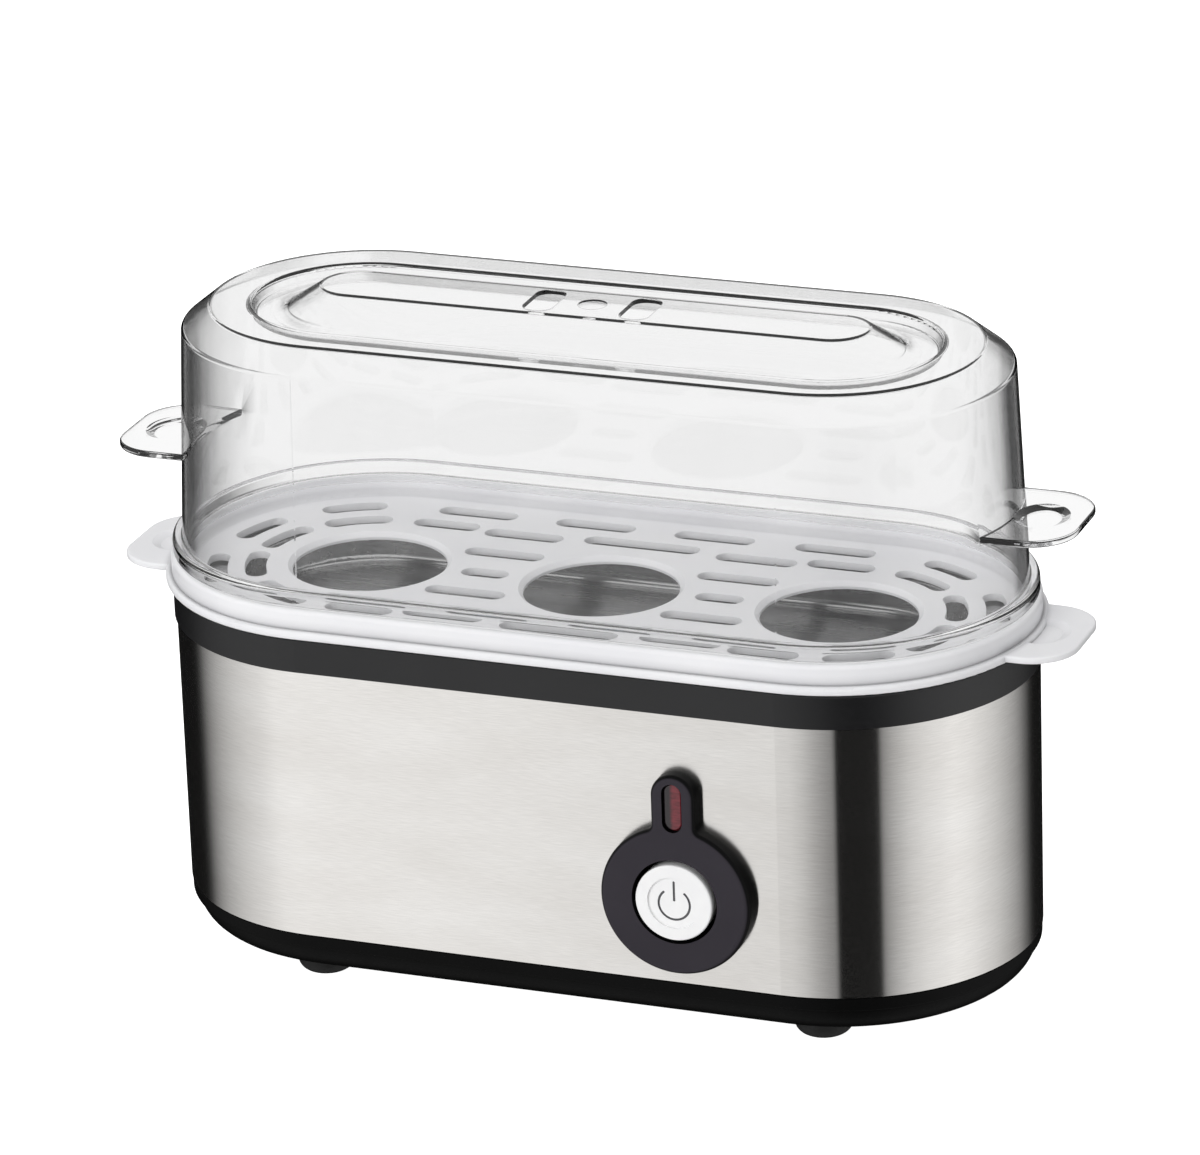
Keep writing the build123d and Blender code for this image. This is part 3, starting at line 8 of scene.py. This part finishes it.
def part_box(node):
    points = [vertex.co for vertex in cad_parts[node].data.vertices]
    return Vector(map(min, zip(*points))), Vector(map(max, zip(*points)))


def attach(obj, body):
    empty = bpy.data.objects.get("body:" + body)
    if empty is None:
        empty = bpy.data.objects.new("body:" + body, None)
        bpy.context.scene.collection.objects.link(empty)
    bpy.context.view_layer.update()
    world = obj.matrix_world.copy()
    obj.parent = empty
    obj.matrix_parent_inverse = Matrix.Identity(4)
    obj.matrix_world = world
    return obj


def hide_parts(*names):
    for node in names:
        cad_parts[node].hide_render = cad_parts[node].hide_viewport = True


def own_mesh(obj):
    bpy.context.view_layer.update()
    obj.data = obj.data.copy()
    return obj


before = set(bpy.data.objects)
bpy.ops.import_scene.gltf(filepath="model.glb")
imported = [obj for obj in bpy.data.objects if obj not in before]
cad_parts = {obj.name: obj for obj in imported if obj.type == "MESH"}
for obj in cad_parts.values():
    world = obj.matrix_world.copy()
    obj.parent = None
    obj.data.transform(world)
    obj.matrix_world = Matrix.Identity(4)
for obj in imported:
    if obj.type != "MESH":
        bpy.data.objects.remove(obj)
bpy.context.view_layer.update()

# Camera: where the photograph was taken from, with the table at height 0
AZIMUTH = math.radians(21.3608)
ELEVATION = math.radians(21.3075)
ROLL = math.radians(-1.9763)
DISTANCE = 1.4667
TARGET = Vector((0.0, 0.0, 0.0855))
LENS_MM = 210.2
SENSOR_MM = 36.0
SHIFT_X = -0.00156

# Details that materials need, in metres
MARK_REACH = 0.0055  # of the standby mark, from the button's middle
MARK_DEPTH = 0.00068  # of the mark's floor, under the button's face
PAINTED_SHADE_FADE = (0.32, 0.55)  # shares of the lens's width where the painted shade on its left side fades out

# Sockets of a Mix node that mixes colours
MIX_A = 6
MIX_B = 7
MIX_RESULT = 2

# Studio: brightness of what shiny surfaces mirror, by the direction round the object in degrees,
# 0 to the front and 90 to the right. Two soft panels with a bright middle, and black between them.
PANELS = [
    (-180, 0.006),
    (-110, 0.006),
    (-104, 0.03),
    (-95, 0.25),
    (-86, 0.42),
    (-75, 0.58),
    (-64, 0.71),
    (-52, 0.82),
    (-40, 0.96),
    (-24, 1.0),
    (-22.5, 0.97),
    (-21, 0.88),
    (-20, 0.8),
    (-12, 0.74),
    (-4.5, 0.62),
    (2.4, 0.46),
    (9.3, 0.33),
    (13.5, 0.26),
    (15.2, 0.006),
    (39.8, 0.006),
    (41.4, 0.26),
    (48, 0.46),
    (58, 0.69),
    (68, 0.84),
    (86, 1.0),
    (97, 0.94),
    (116, 0.71),
    (140, 0.34),
    (146, 0.2),
    (157, 0.02),
    (164, 0.006),
    (180, 0.006),
]
# What rays see through clear plastic: pale all round, a white backdrop behind, and a narrow dark flag
# to either side of the backdrop, which draws the ends of the lid
SEEN_THROUGH = [
    (-180, 0.7),
    (-178, 0.15),
    (-169, 0.15),
    (-165.5, 1.0),
    (-154.2, 1.0),
    (-151.3, 0.15),
    (-140, 0.15),
    (-137, 0.7),
    (-95, 0.6),
    (80, 0.6),
    (120, 0.7),
    (180, 0.7),
]
CLEAR = "FAFAFA"  # tint of the clear lid
# Painted shade on the lid's upright walls, darker by the slant they are seen at, from 0 head on to 1 edge
# on
PAINTED_WALL_SHADES = [
    (0.3, CLEAR),
    (0.42, "EEEEEE"),
    (0.5, "E6E6E6"),
    (0.6, "D8D8D8"),
    (0.67, "787878"),
    (0.85, "606060"),
]
OVERHEAD = 0.95  # brightness of the light panel above
OVERHEAD_FROM = 0.1  # sine of the height where that panel begins
OVERHEAD_FULL = 0.35  # sine of the height where it is at full brightness
AMBIENT = 0.50  # even light from all round on matt surfaces
LAMP_SIZE = 0.9
KEY_PLACE = Vector((-0.4, -1.5, 0.75))
KEY_WATTS = 12.0
TOP_PLACE = Vector((0.0, 0.1, 1.3))
TOP_WATTS = 3.5
FLOOR_SIZE = 4.0


def linear(code):
    """Linear colour of an sRGB hex value."""
    levels = [int(code[place:place + 2], 16) / 255 for place in (0, 2, 4)]
    return [v / 12.92 if v <= 0.04045 else ((v + 0.055) / 1.055) ** 2.4 for v in levels] + [1.0]


def grey(level):
    """An even grey of this linear brightness."""
    return (level, level, level, 1.0)


def per_mm(size):
    """Scale of a pattern whose features are this many millimetres across."""
    return 1000.0 / size


def add(tree, kind, inputs=None, **settings):
    """Adds a node, sets its options, and fills or links its inputs."""
    made = tree.nodes.new(kind)
    for option, value in settings.items():
        setattr(made, option, value)
    for name, value in (inputs or {}).items():
        if isinstance(value, bpy.types.NodeSocket):
            tree.links.new(value, made.inputs[name])
        else:
            made.inputs[name].default_value = value
    return made


def set_stops(ramp, levels):
    """Gives a colour ramp these stops, as pairs of place and colour."""
    stops = ramp.color_ramp.elements
    while len(stops) < len(levels):
        stops.new(0.5)
    for stop, (place, colour) in zip(stops, levels):
        stop.position = place
        stop.color = colour


def new_material(name, values):
    """A material with its Principled shader set to plain values."""
    made = bpy.data.materials.new(name)
    made.use_nodes = True
    shader = made.node_tree.nodes["Principled BSDF"]
    for socket, value in values.items():
        shader.inputs[socket].default_value = value
    return made, made.node_tree, shader


def noise(tree, stretch, detail=2.0):
    """Noise on the object's own coordinates, with its grain size in millimetres along X, Y and Z."""
    place = add(tree, "ShaderNodeTexCoord").outputs["Object"]
    scale = [per_mm(size) for size in stretch]
    grain = add(tree, "ShaderNodeMapping", {"Vector": place, "Scale": scale})
    values = {"Vector": grain.outputs["Vector"], "Scale": 1.0, "Detail": detail}
    return add(tree, "ShaderNodeTexNoise", values)


def tones(tree, pattern, dark, light, low=0.3, high=0.7):
    """Colours between two tones, along a pattern."""
    ramp = add(tree, "ShaderNodeValToRGB", {"Fac": pattern.outputs["Fac"]})
    set_stops(ramp, [(low, linear(dark)), (high, linear(light))])
    return ramp.outputs["Color"]


def spread(tree, pattern, low, high):
    """A pattern's values moved to lie between two limits."""
    moved = add(
        tree, "ShaderNodeMapRange",
        {"Value": pattern.outputs["Fac"], "From Min": 0.3, "From Max": 0.7, "To Min": low, "To Max": high},
    )
    return moved.outputs["Result"]


def bump(tree, pattern, depth_mm, strength=1.0):
    """Surface relief of a pattern, with its depth in millimetres."""
    relief = add(
        tree, "ShaderNodeBump",
        {"Height": pattern.outputs["Fac"], "Distance": depth_mm / 1000.0, "Strength": strength},
    )
    return relief.outputs["Normal"]


def moulded(name, dark, light, roughness, grain_mm=0.6, depth_mm=0.004, painted_shade_mm=0.0, **values):
    """Moulded plastic or rubber: a fine grain in relief and sheen, a drift of colour, optional painted
    shade in corners.
    """
    made, tree, shader = new_material(name, values)
    drift = noise(tree, (18.0, 18.0, 18.0))
    # Coarser than a real mould's grain, so that it shows from a step away
    grain = noise(tree, (grain_mm, grain_mm, grain_mm))
    colour = tones(tree, drift, dark, light)
    # Painted shade: ambient occlusion greys the colour in corners and at the foot of walls
    if painted_shade_mm:
        painted_corner_shade = add(
            tree, "ShaderNodeAmbientOcclusion", {"Color": colour, "Distance": painted_shade_mm / 1000.0},
            samples=8, only_local=True,
        )
        colour = painted_corner_shade.outputs["Color"]
    tree.links.new(colour, shader.inputs["Base Color"])
    tree.links.new(spread(tree, grain, roughness - 0.04, roughness + 0.04), shader.inputs["Roughness"])
    tree.links.new(bump(tree, grain, depth_mm), shader.inputs["Normal"])
    return made


def plain_metal(name, dark, light, roughness, stretch=(6.0, 0.4, 0.4), depth_mm=0.002):
    """Bare or plated metal: faint drawing lines in colour, sheen and relief."""
    made, tree, shader = new_material(name, {"Metallic": 1.0})
    # Coarser than real drawing lines, which are too fine for a picture
    lines = noise(tree, stretch)
    tree.links.new(tones(tree, lines, dark, light), shader.inputs["Base Color"])
    tree.links.new(spread(tree, lines, roughness - 0.05, roughness + 0.05), shader.inputs["Roughness"])
    tree.links.new(bump(tree, lines, depth_mm), shader.inputs["Normal"])
    return made


def brushed_stainless():
    """Brushed stainless sheet: level brush lines smear reflections upwards and keep them sharp sideways."""
    made, tree, shader = new_material(
        "brushed_stainless_304",
        {"Metallic": 1.0, "Roughness": 0.15, "Anisotropic": 1.0, "Anisotropic Rotation": 0.25},
    )
    level = add(tree, "ShaderNodeTangent", direction_type="RADIAL", axis="Z")
    # Brush lines 0.15 mm across, coarser than real ones, which are too fine for a picture
    lines = noise(tree, (3.5, 3.5, 0.15), detail=3.0)
    clouds = noise(tree, (40.0, 40.0, 12.0))
    sheet = tones(tree, lines, "E7E5E2", "F1EFEC")
    drift = tones(tree, clouds, "F6F5F4", "FFFFFF")
    colour = add(
        tree, "ShaderNodeMix", {"Factor": 1.0, MIX_A: sheet, MIX_B: drift},
        data_type="RGBA", blend_type="MULTIPLY",
    )
    tree.links.new(colour.outputs[MIX_RESULT], shader.inputs["Base Color"])
    tree.links.new(bump(tree, lines, 0.001, 0.4), shader.inputs["Normal"])
    tree.links.new(level.outputs["Tangent"], shader.inputs["Tangent"])
    return made


def clear_lid():
    """Clear moulded styrene: a faint grey cast, slightly wavy, with painted shade where walls slant away.
    """
    made, tree, shader = new_material(
        "clear_styrene",
        {"Base Color": linear(CLEAR), "Transmission Weight": 1.0, "IOR": 1.50, "Roughness": 0.0},
    )
    # Painted shade: upright walls darken towards edge on, flat parts keep the clear tint
    slant = add(tree, "ShaderNodeLayerWeight", {"Blend": 0.5})
    painted_walls = add(tree, "ShaderNodeValToRGB", {"Fac": slant.outputs["Facing"]})
    set_stops(painted_walls, [(place, linear(tint)) for place, tint in PAINTED_WALL_SHADES])
    normal = add(tree, "ShaderNodeTexCoord").outputs["Normal"]
    facing = add(tree, "ShaderNodeSeparateXYZ", {"Vector": normal})
    rise = add(tree, "ShaderNodeMath", {0: facing.outputs["Z"]}, operation="ABSOLUTE")
    level = add(
        tree, "ShaderNodeMapRange", {"Value": rise.outputs["Value"], "From Min": 0.3, "From Max": 0.7}
    )
    colour = add(
        tree, "ShaderNodeMix",
        {"Factor": level.outputs["Result"], MIX_A: painted_walls.outputs["Color"], MIX_B: linear(CLEAR)},
        data_type="RGBA",
    )
    tree.links.new(colour.outputs[MIX_RESULT], shader.inputs["Base Color"])
    waves = noise(tree, (38.0, 38.0, 30.0), detail=0.0)
    tree.links.new(bump(tree, waves, 0.12, 0.25), shader.inputs["Normal"])
    through = add(tree, "ShaderNodeBsdfTransparent", {"Color": linear("FCFCFC")})
    path = add(tree, "ShaderNodeLightPath")
    lit = add(
        tree, "ShaderNodeMath",
        {0: path.outputs["Is Shadow Ray"], 1: path.outputs["Is Diffuse Ray"]},
        operation="MAXIMUM",
    )
    either = add(
        tree, "ShaderNodeMixShader",
        {0: lit.outputs["Value"], 1: shader.outputs["BSDF"], 2: through.outputs["BSDF"]},
    )
    tree.links.new(either.outputs["Shader"], tree.nodes["Material Output"].inputs["Surface"])
    return made


def white_button():
    """Glossy white ABS with the standby mark, sunk into its dish, coloured grey."""
    low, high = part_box("power_button")
    made, tree, shader = new_material("white_abs_marked", {"Roughness": 0.28, "Coat Weight": 1.0})
    place = add(tree, "ShaderNodeTexCoord").outputs["Object"]
    axis = ((low.x + high.x) / 2, low.y, (low.z + high.z) / 2)
    from_face = add(tree, "ShaderNodeVectorMath", {0: place, 1: axis}, operation="SUBTRACT")
    parts = add(tree, "ShaderNodeSeparateXYZ", {"Vector": from_face.outputs["Vector"]})
    flat = add(tree, "ShaderNodeCombineXYZ", {"X": parts.outputs["X"], "Y": parts.outputs["Z"]})
    radius = add(tree, "ShaderNodeVectorMath", {0: flat.outputs["Vector"]}, operation="LENGTH")
    inside = add(tree, "ShaderNodeMath", {0: radius.outputs["Value"], 1: MARK_REACH}, operation="LESS_THAN")
    sunk = add(tree, "ShaderNodeMath", {0: parts.outputs["Y"], 1: MARK_DEPTH}, operation="GREATER_THAN")
    mark = add(
        tree, "ShaderNodeMath", {0: inside.outputs["Value"], 1: sunk.outputs["Value"]}, operation="MULTIPLY"
    )
    cap = tones(tree, noise(tree, (6.0, 6.0, 6.0)), "F6F6F7", "FBFBFB")
    colour = add(
        tree, "ShaderNodeMix", {"Factor": mark.outputs["Value"], MIX_A: cap, MIX_B: linear("4C4C50")},
        data_type="RGBA",
    )
    tree.links.new(colour.outputs[MIX_RESULT], shader.inputs["Base Color"])
    tree.links.new(bump(tree, noise(tree, (0.5, 0.5, 0.5)), 0.002), shader.inputs["Normal"])
    return made


def red_lens():
    """Dark red polycarbonate: deep colour with a sharp gloss, and painted shade darkening its left edge."""
    low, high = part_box("indicator_lens")
    made, tree, shader = new_material("red_polycarbonate", {"Roughness": 0.12, "IOR": 1.58})
    ribs = tones(tree, noise(tree, (2.0, 2.0, 0.5)), "561820", "7A2630")
    place = add(tree, "ShaderNodeTexCoord").outputs["Object"]
    parts = add(tree, "ShaderNodeSeparateXYZ", {"Vector": place})
    # Painted shade: the lens is near black at its left edge, fading into the red across it
    start, end = [low.x + share * (high.x - low.x) for share in PAINTED_SHADE_FADE]
    across = add(
        tree, "ShaderNodeMapRange",
        {"Value": parts.outputs["X"], "From Min": start, "From Max": end},
        interpolation_type="SMOOTHSTEP",
    )
    colour = add(
        tree, "ShaderNodeMix", {"Factor": across.outputs["Result"], MIX_A: linear("1E171B"), MIX_B: ribs},
        data_type="RGBA",
    )
    tree.links.new(colour.outputs[MIX_RESULT], shader.inputs["Base Color"])
    return made


def plate_with_painted_side_shade():
    """Matt ABS of the control plate: a grey face with a fine grain, and painted shade making its sides
    black.
    """
    made, tree, shader = new_material("dark_grey_abs", {"Specular IOR Level": 0.08})
    normal = add(tree, "ShaderNodeTexCoord").outputs["Normal"]
    facing = add(tree, "ShaderNodeSeparateXYZ", {"Vector": normal})
    # Painted shade: faces turned away from the front take a near-black colour
    face_not_side_shade = add(
        tree, "ShaderNodeMapRange",
        {"Value": facing.outputs["Y"], "From Min": -0.7, "From Max": -0.97},
        interpolation_type="SMOOTHSTEP",
    )
    face = tones(tree, noise(tree, (18.0, 18.0, 18.0)), "343137", "38353B")
    colour = add(
        tree, "ShaderNodeMix", {"Factor": face_not_side_shade.outputs["Result"], MIX_A: linear("060607"), MIX_B: face},
        data_type="RGBA",
    )
    tree.links.new(colour.outputs[MIX_RESULT], shader.inputs["Base Color"])
    grain = noise(tree, (0.6, 0.6, 0.6))
    tree.links.new(spread(tree, grain, 0.36, 0.44), shader.inputs["Roughness"])
    tree.links.new(bump(tree, grain, 0.004), shader.inputs["Normal"])
    return made


STEEL = brushed_stainless()
LID = clear_lid()
BUTTON = white_button()
LENS = red_lens()
GREY_ABS = plate_with_painted_side_shade()
# ABS of the ring: the same fine grain, satin and nearly black
RING_ABS = moulded("near_black_abs", "0F0F11", "141416", 0.36)
# ABS of the base: black and matt, so it stays dark over a white table
BLACK_ABS = moulded("black_abs", "050505", "080808", 0.46, **{"Specular IOR Level": 0.08})
# Rubber of the feet: dull black with a coarser grain and no shine
RUBBER = moulded("black_rubber", "0E0E0E", "151515", 0.7, grain_mm=0.8, depth_mm=0.01)
# Polypropylene of the tray: milky white, light passes a little way into it; painted shade greys its corners
WHITE_PP = moulded(
    "white_polypropylene", "EDEDF0", "F4F4F6", 0.34, grain_mm=0.8, depth_mm=0.003, painted_shade_mm=2.2,
    **{
        "Specular IOR Level": 0.3,
        "Subsurface Weight": 0.25,
        "Subsurface Radius": (0.004, 0.004, 0.004),
        "Subsurface Scale": 1.0,
    },
)
# Pressed stainless of the pan: soft grey with long faint drawing lines
PAN_STEEL = plain_metal("pressed_stainless", "B8B8B8", "C6C6C6", 0.24, stretch=(20.0, 1.0, 1.0))
# Zinc plating of screws, clamps and tags: bluish grey and finely mottled
ZINC = plain_metal("zinc_plated_steel", "A9ADB2", "BDC1C6", 0.34, stretch=(1.5, 1.5, 1.5))
# Drawn spring wire: brighter than the screws, with a fine grain
SPRING_WIRE = plain_metal("drawn_spring_steel", "A8A6A2", "BEBCB8", 0.22, stretch=(0.4, 0.4, 0.4))
# Sheath of the element and the fuse: dull brown-grey from heat
SHEATH = plain_metal("oxidised_element_sheath", "6E6A66", "8A8580", 0.42, stretch=(5.0, 1.2, 1.2))
# Thermoset of the thermostat: cream and matt
BAKELITE = moulded("cream_thermoset", "C9C2B2", "D6D0C2", 0.5)
# Polyamide of the terminal block: ivory and half matt
BLOCK_PLASTIC = moulded("ivory_polyamide", "D2D0C6", "DEDCD4", 0.45)
# Silicone of the pan's seal: light grey, soft and matt
SILICONE = moulded("grey_silicone", "9A9A96", "A8A8A4", 0.6)
# PVC of the mains wires: the usual brown, blue and green, half matt
BROWN_PVC = moulded("brown_wire_pvc", "50301C", "5E3A22", 0.42)
BLUE_PVC = moulded("blue_wire_pvc", "2A4C8E", "34589C", 0.42)
GREEN_PVC = moulded("green_wire_pvc", "4E8C30", "6A9C34", 0.42)
# Glass sleeving of the hot leads: off-white with a fine raised grain
WHITE_SLEEVING = moulded("white_glass_sleeving", "CFCFCB", "DADAD6", 0.55, grain_mm=0.4, depth_mm=0.02)
# Frosted glass of the lamp: pale and smooth
LAMP_GLASS = moulded("frosted_lamp_glass", "D8CCBC", "E2D8CA", 0.2)

FINISHES = {
    "steel_housing": STEEL,
    "lid": LID,
    "egg_tray": WHITE_PP,
    "power_button": BUTTON,
    "indicator_lens": LENS,
    "top_ring": RING_ABS,
    "control_plate": GREY_ABS,
    "bottom_base": BLACK_ABS,
    "switch_bracket": BLACK_ABS,
    "power_switch": BLACK_ABS,
    "cord_gland": BLACK_ABS,
    "gland_nut": BLACK_ABS,
    "rubber_feet": RUBBER,
    "heating_plate": PAN_STEEL,
    "pan_seal": SILICONE,
    "base_screws": ZINC,
    "pan_screws": ZINC,
    "plate_screws": ZINC,
    "terminal_screws": ZINC,
    "element_clamps": ZINC,
    "clamp_nuts": ZINC,
    "thermostat_nuts": ZINC,
    "earth_nut": ZINC,
    "earth_tag": ZINC,
    "fuse_clip": ZINC,
    "button_spring": SPRING_WIRE,
    "heating_element": SHEATH,
    "thermal_fuse": SHEATH,
    "thermostat": BAKELITE,
    "terminal_block": BLOCK_PLASTIC,
    "indicator_lamp": LAMP_GLASS,
    "lamp_lead_left": WHITE_SLEEVING,
    "lamp_lead_right": WHITE_SLEEVING,
    "switch_lead": WHITE_SLEEVING,
    "element_lead": WHITE_SLEEVING,
    "fuse_lead": WHITE_SLEEVING,
    "live_lead": BROWN_PVC,
    "neutral_lead": BLUE_PVC,
    "earth_lead": GREEN_PVC,
}
for name, finish in FINISHES.items():
    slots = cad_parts[name].data.materials
    slots.clear()
    slots.append(finish)

# Return spring: its own copy of the coil, attached to the base in place of the part's own mesh
coil = bmesh.new()
coil.from_mesh(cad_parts["button_spring"].data)
spring = bpy.data.objects.new("return_spring", bpy.data.meshes.new("return_spring"))
coil.to_mesh(spring.data)
coil.free()
spring.data.materials.append(SPRING_WIRE)
bpy.context.scene.collection.objects.link(spring)
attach(spring, "base")
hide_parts("button_spring")
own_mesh(spring)

# Camera
back = Vector(
    (math.sin(AZIMUTH) * math.cos(ELEVATION), -math.cos(AZIMUTH) * math.cos(ELEVATION), math.sin(ELEVATION))
)
level_right = Vector((math.cos(AZIMUTH), math.sin(AZIMUTH), 0.0))
level_up = back.cross(level_right)
right = level_right * math.cos(ROLL) + level_up * math.sin(ROLL)
up = level_up * math.cos(ROLL) - level_right * math.sin(ROLL)
camera = bpy.data.objects.new("camera", bpy.data.cameras.new("camera"))
camera.data.lens = LENS_MM
camera.data.sensor_fit = "HORIZONTAL"
camera.data.sensor_width = SENSOR_MM
camera.data.shift_x = SHIFT_X
stand = Matrix.Translation(TARGET + back * DISTANCE)
camera.matrix_world = stand @ Matrix((right, up, back)).transposed().to_4x4()
bpy.context.scene.collection.objects.link(camera)
bpy.context.scene.camera = camera
bpy.context.scene.view_settings.view_transform = "Standard"

# Lamps on matt surfaces: a large soft panel to the left above the camera, and a weaker one straight above
for name, place, watts in (("key_light", KEY_PLACE, KEY_WATTS), ("top_light", TOP_PLACE, TOP_WATTS)):
    lamp = bpy.data.objects.new(name, bpy.data.lights.new(name, "AREA"))
    lamp.data.size = LAMP_SIZE
    lamp.data.energy = watts
    aim = (place - TARGET).to_track_quat("Z", "Y").to_matrix().to_4x4()
    lamp.matrix_world = Matrix.Translation(place) @ aim
    lamp.visible_glossy = False
    lamp.visible_transmission = False
    bpy.context.scene.collection.objects.link(lamp)

# World: white to the camera, even to matt surfaces, panels and black to shiny ones, pale through plastic
world = bpy.data.worlds.new("studio")
bpy.context.scene.world = world
world.use_nodes = True
studio = world.node_tree
direction = add(studio, "ShaderNodeTexCoord").outputs["Generated"]
towards = add(studio, "ShaderNodeSeparateXYZ", {"Vector": direction})
front = add(studio, "ShaderNodeMath", {0: towards.outputs["Y"], 1: -1.0}, operation="MULTIPLY")
turn = add(
    studio, "ShaderNodeMath", {0: towards.outputs["X"], 1: front.outputs["Value"]}, operation="ARCTAN2"
)
share = add(
    studio, "ShaderNodeMapRange",
    {"Value": turn.outputs["Value"], "From Min": -math.pi, "From Max": math.pi},
)
rings = []
for levels in (PANELS, SEEN_THROUGH):
    ring = add(studio, "ShaderNodeValToRGB", {"Fac": share.outputs["Result"]})
    set_stops(ring, [(degrees / 360 + 0.5, grey(brightness)) for degrees, brightness in levels])
    rings.append(ring.outputs["Color"])
above = add(
    studio, "ShaderNodeMapRange",
    {"Value": towards.outputs["Z"], "From Min": OVERHEAD_FROM, "From Max": OVERHEAD_FULL},
    interpolation_type="SMOOTHSTEP",
)
shiny = add(
    studio, "ShaderNodeMix",
    {"Factor": above.outputs["Result"], MIX_A: rings[0], MIX_B: grey(OVERHEAD)},
    data_type="RGBA",
)
seen_through = add(
    studio, "ShaderNodeMix",
    {"Factor": above.outputs["Result"], MIX_A: rings[1], MIX_B: grey(1.0)},
    data_type="RGBA",
)
path = add(studio, "ShaderNodeLightPath")
by_gloss = add(
    studio, "ShaderNodeMix",
    {"Factor": path.outputs["Is Glossy Ray"], MIX_A: grey(AMBIENT), MIX_B: shiny.outputs[MIX_RESULT]},
    data_type="RGBA",
)
by_glass = add(
    studio, "ShaderNodeMix",
    {
        "Factor": path.outputs["Is Transmission Ray"],
        MIX_A: by_gloss.outputs[MIX_RESULT],
        MIX_B: seen_through.outputs[MIX_RESULT],
    },
    data_type="RGBA",
)
by_camera = add(
    studio, "ShaderNodeMix",
    {"Factor": path.outputs["Is Camera Ray"], MIX_A: by_glass.outputs[MIX_RESULT], MIX_B: grey(1.0)},
    data_type="RGBA",
)
studio.links.new(by_camera.outputs[MIX_RESULT], studio.nodes["Background"].inputs["Color"])

# Floor: matt white board, lifted to plain white for the camera
floor_mesh = bmesh.new()
bmesh.ops.create_grid(floor_mesh, x_segments=1, y_segments=1, size=FLOOR_SIZE)
floor = bpy.data.objects.new("floor", bpy.data.meshes.new("floor"))
floor_mesh.to_mesh(floor.data)
floor_mesh.free()
board, tree, shader = new_material("matt_white_board", {"Roughness": 0.9, "Specular IOR Level": 0.1})
paper = tones(tree, noise(tree, (40.0, 40.0, 40.0)), "ECECEC", "F0F0F0")
tree.links.new(paper, shader.inputs["Base Color"])
path = add(tree, "ShaderNodeLightPath")
glow = add(tree, "ShaderNodeEmission", {"Color": grey(1.0), "Strength": path.outputs["Is Camera Ray"]})
both = add(tree, "ShaderNodeAddShader", {0: shader.outputs["BSDF"], 1: glow.outputs["Emission"]})
tree.links.new(both.outputs["Shader"], tree.nodes["Material Output"].inputs["Surface"])
floor.data.materials.append(board)
floor.visible_glossy = False
floor.visible_transmission = False
bpy.context.scene.collection.objects.link(floor)
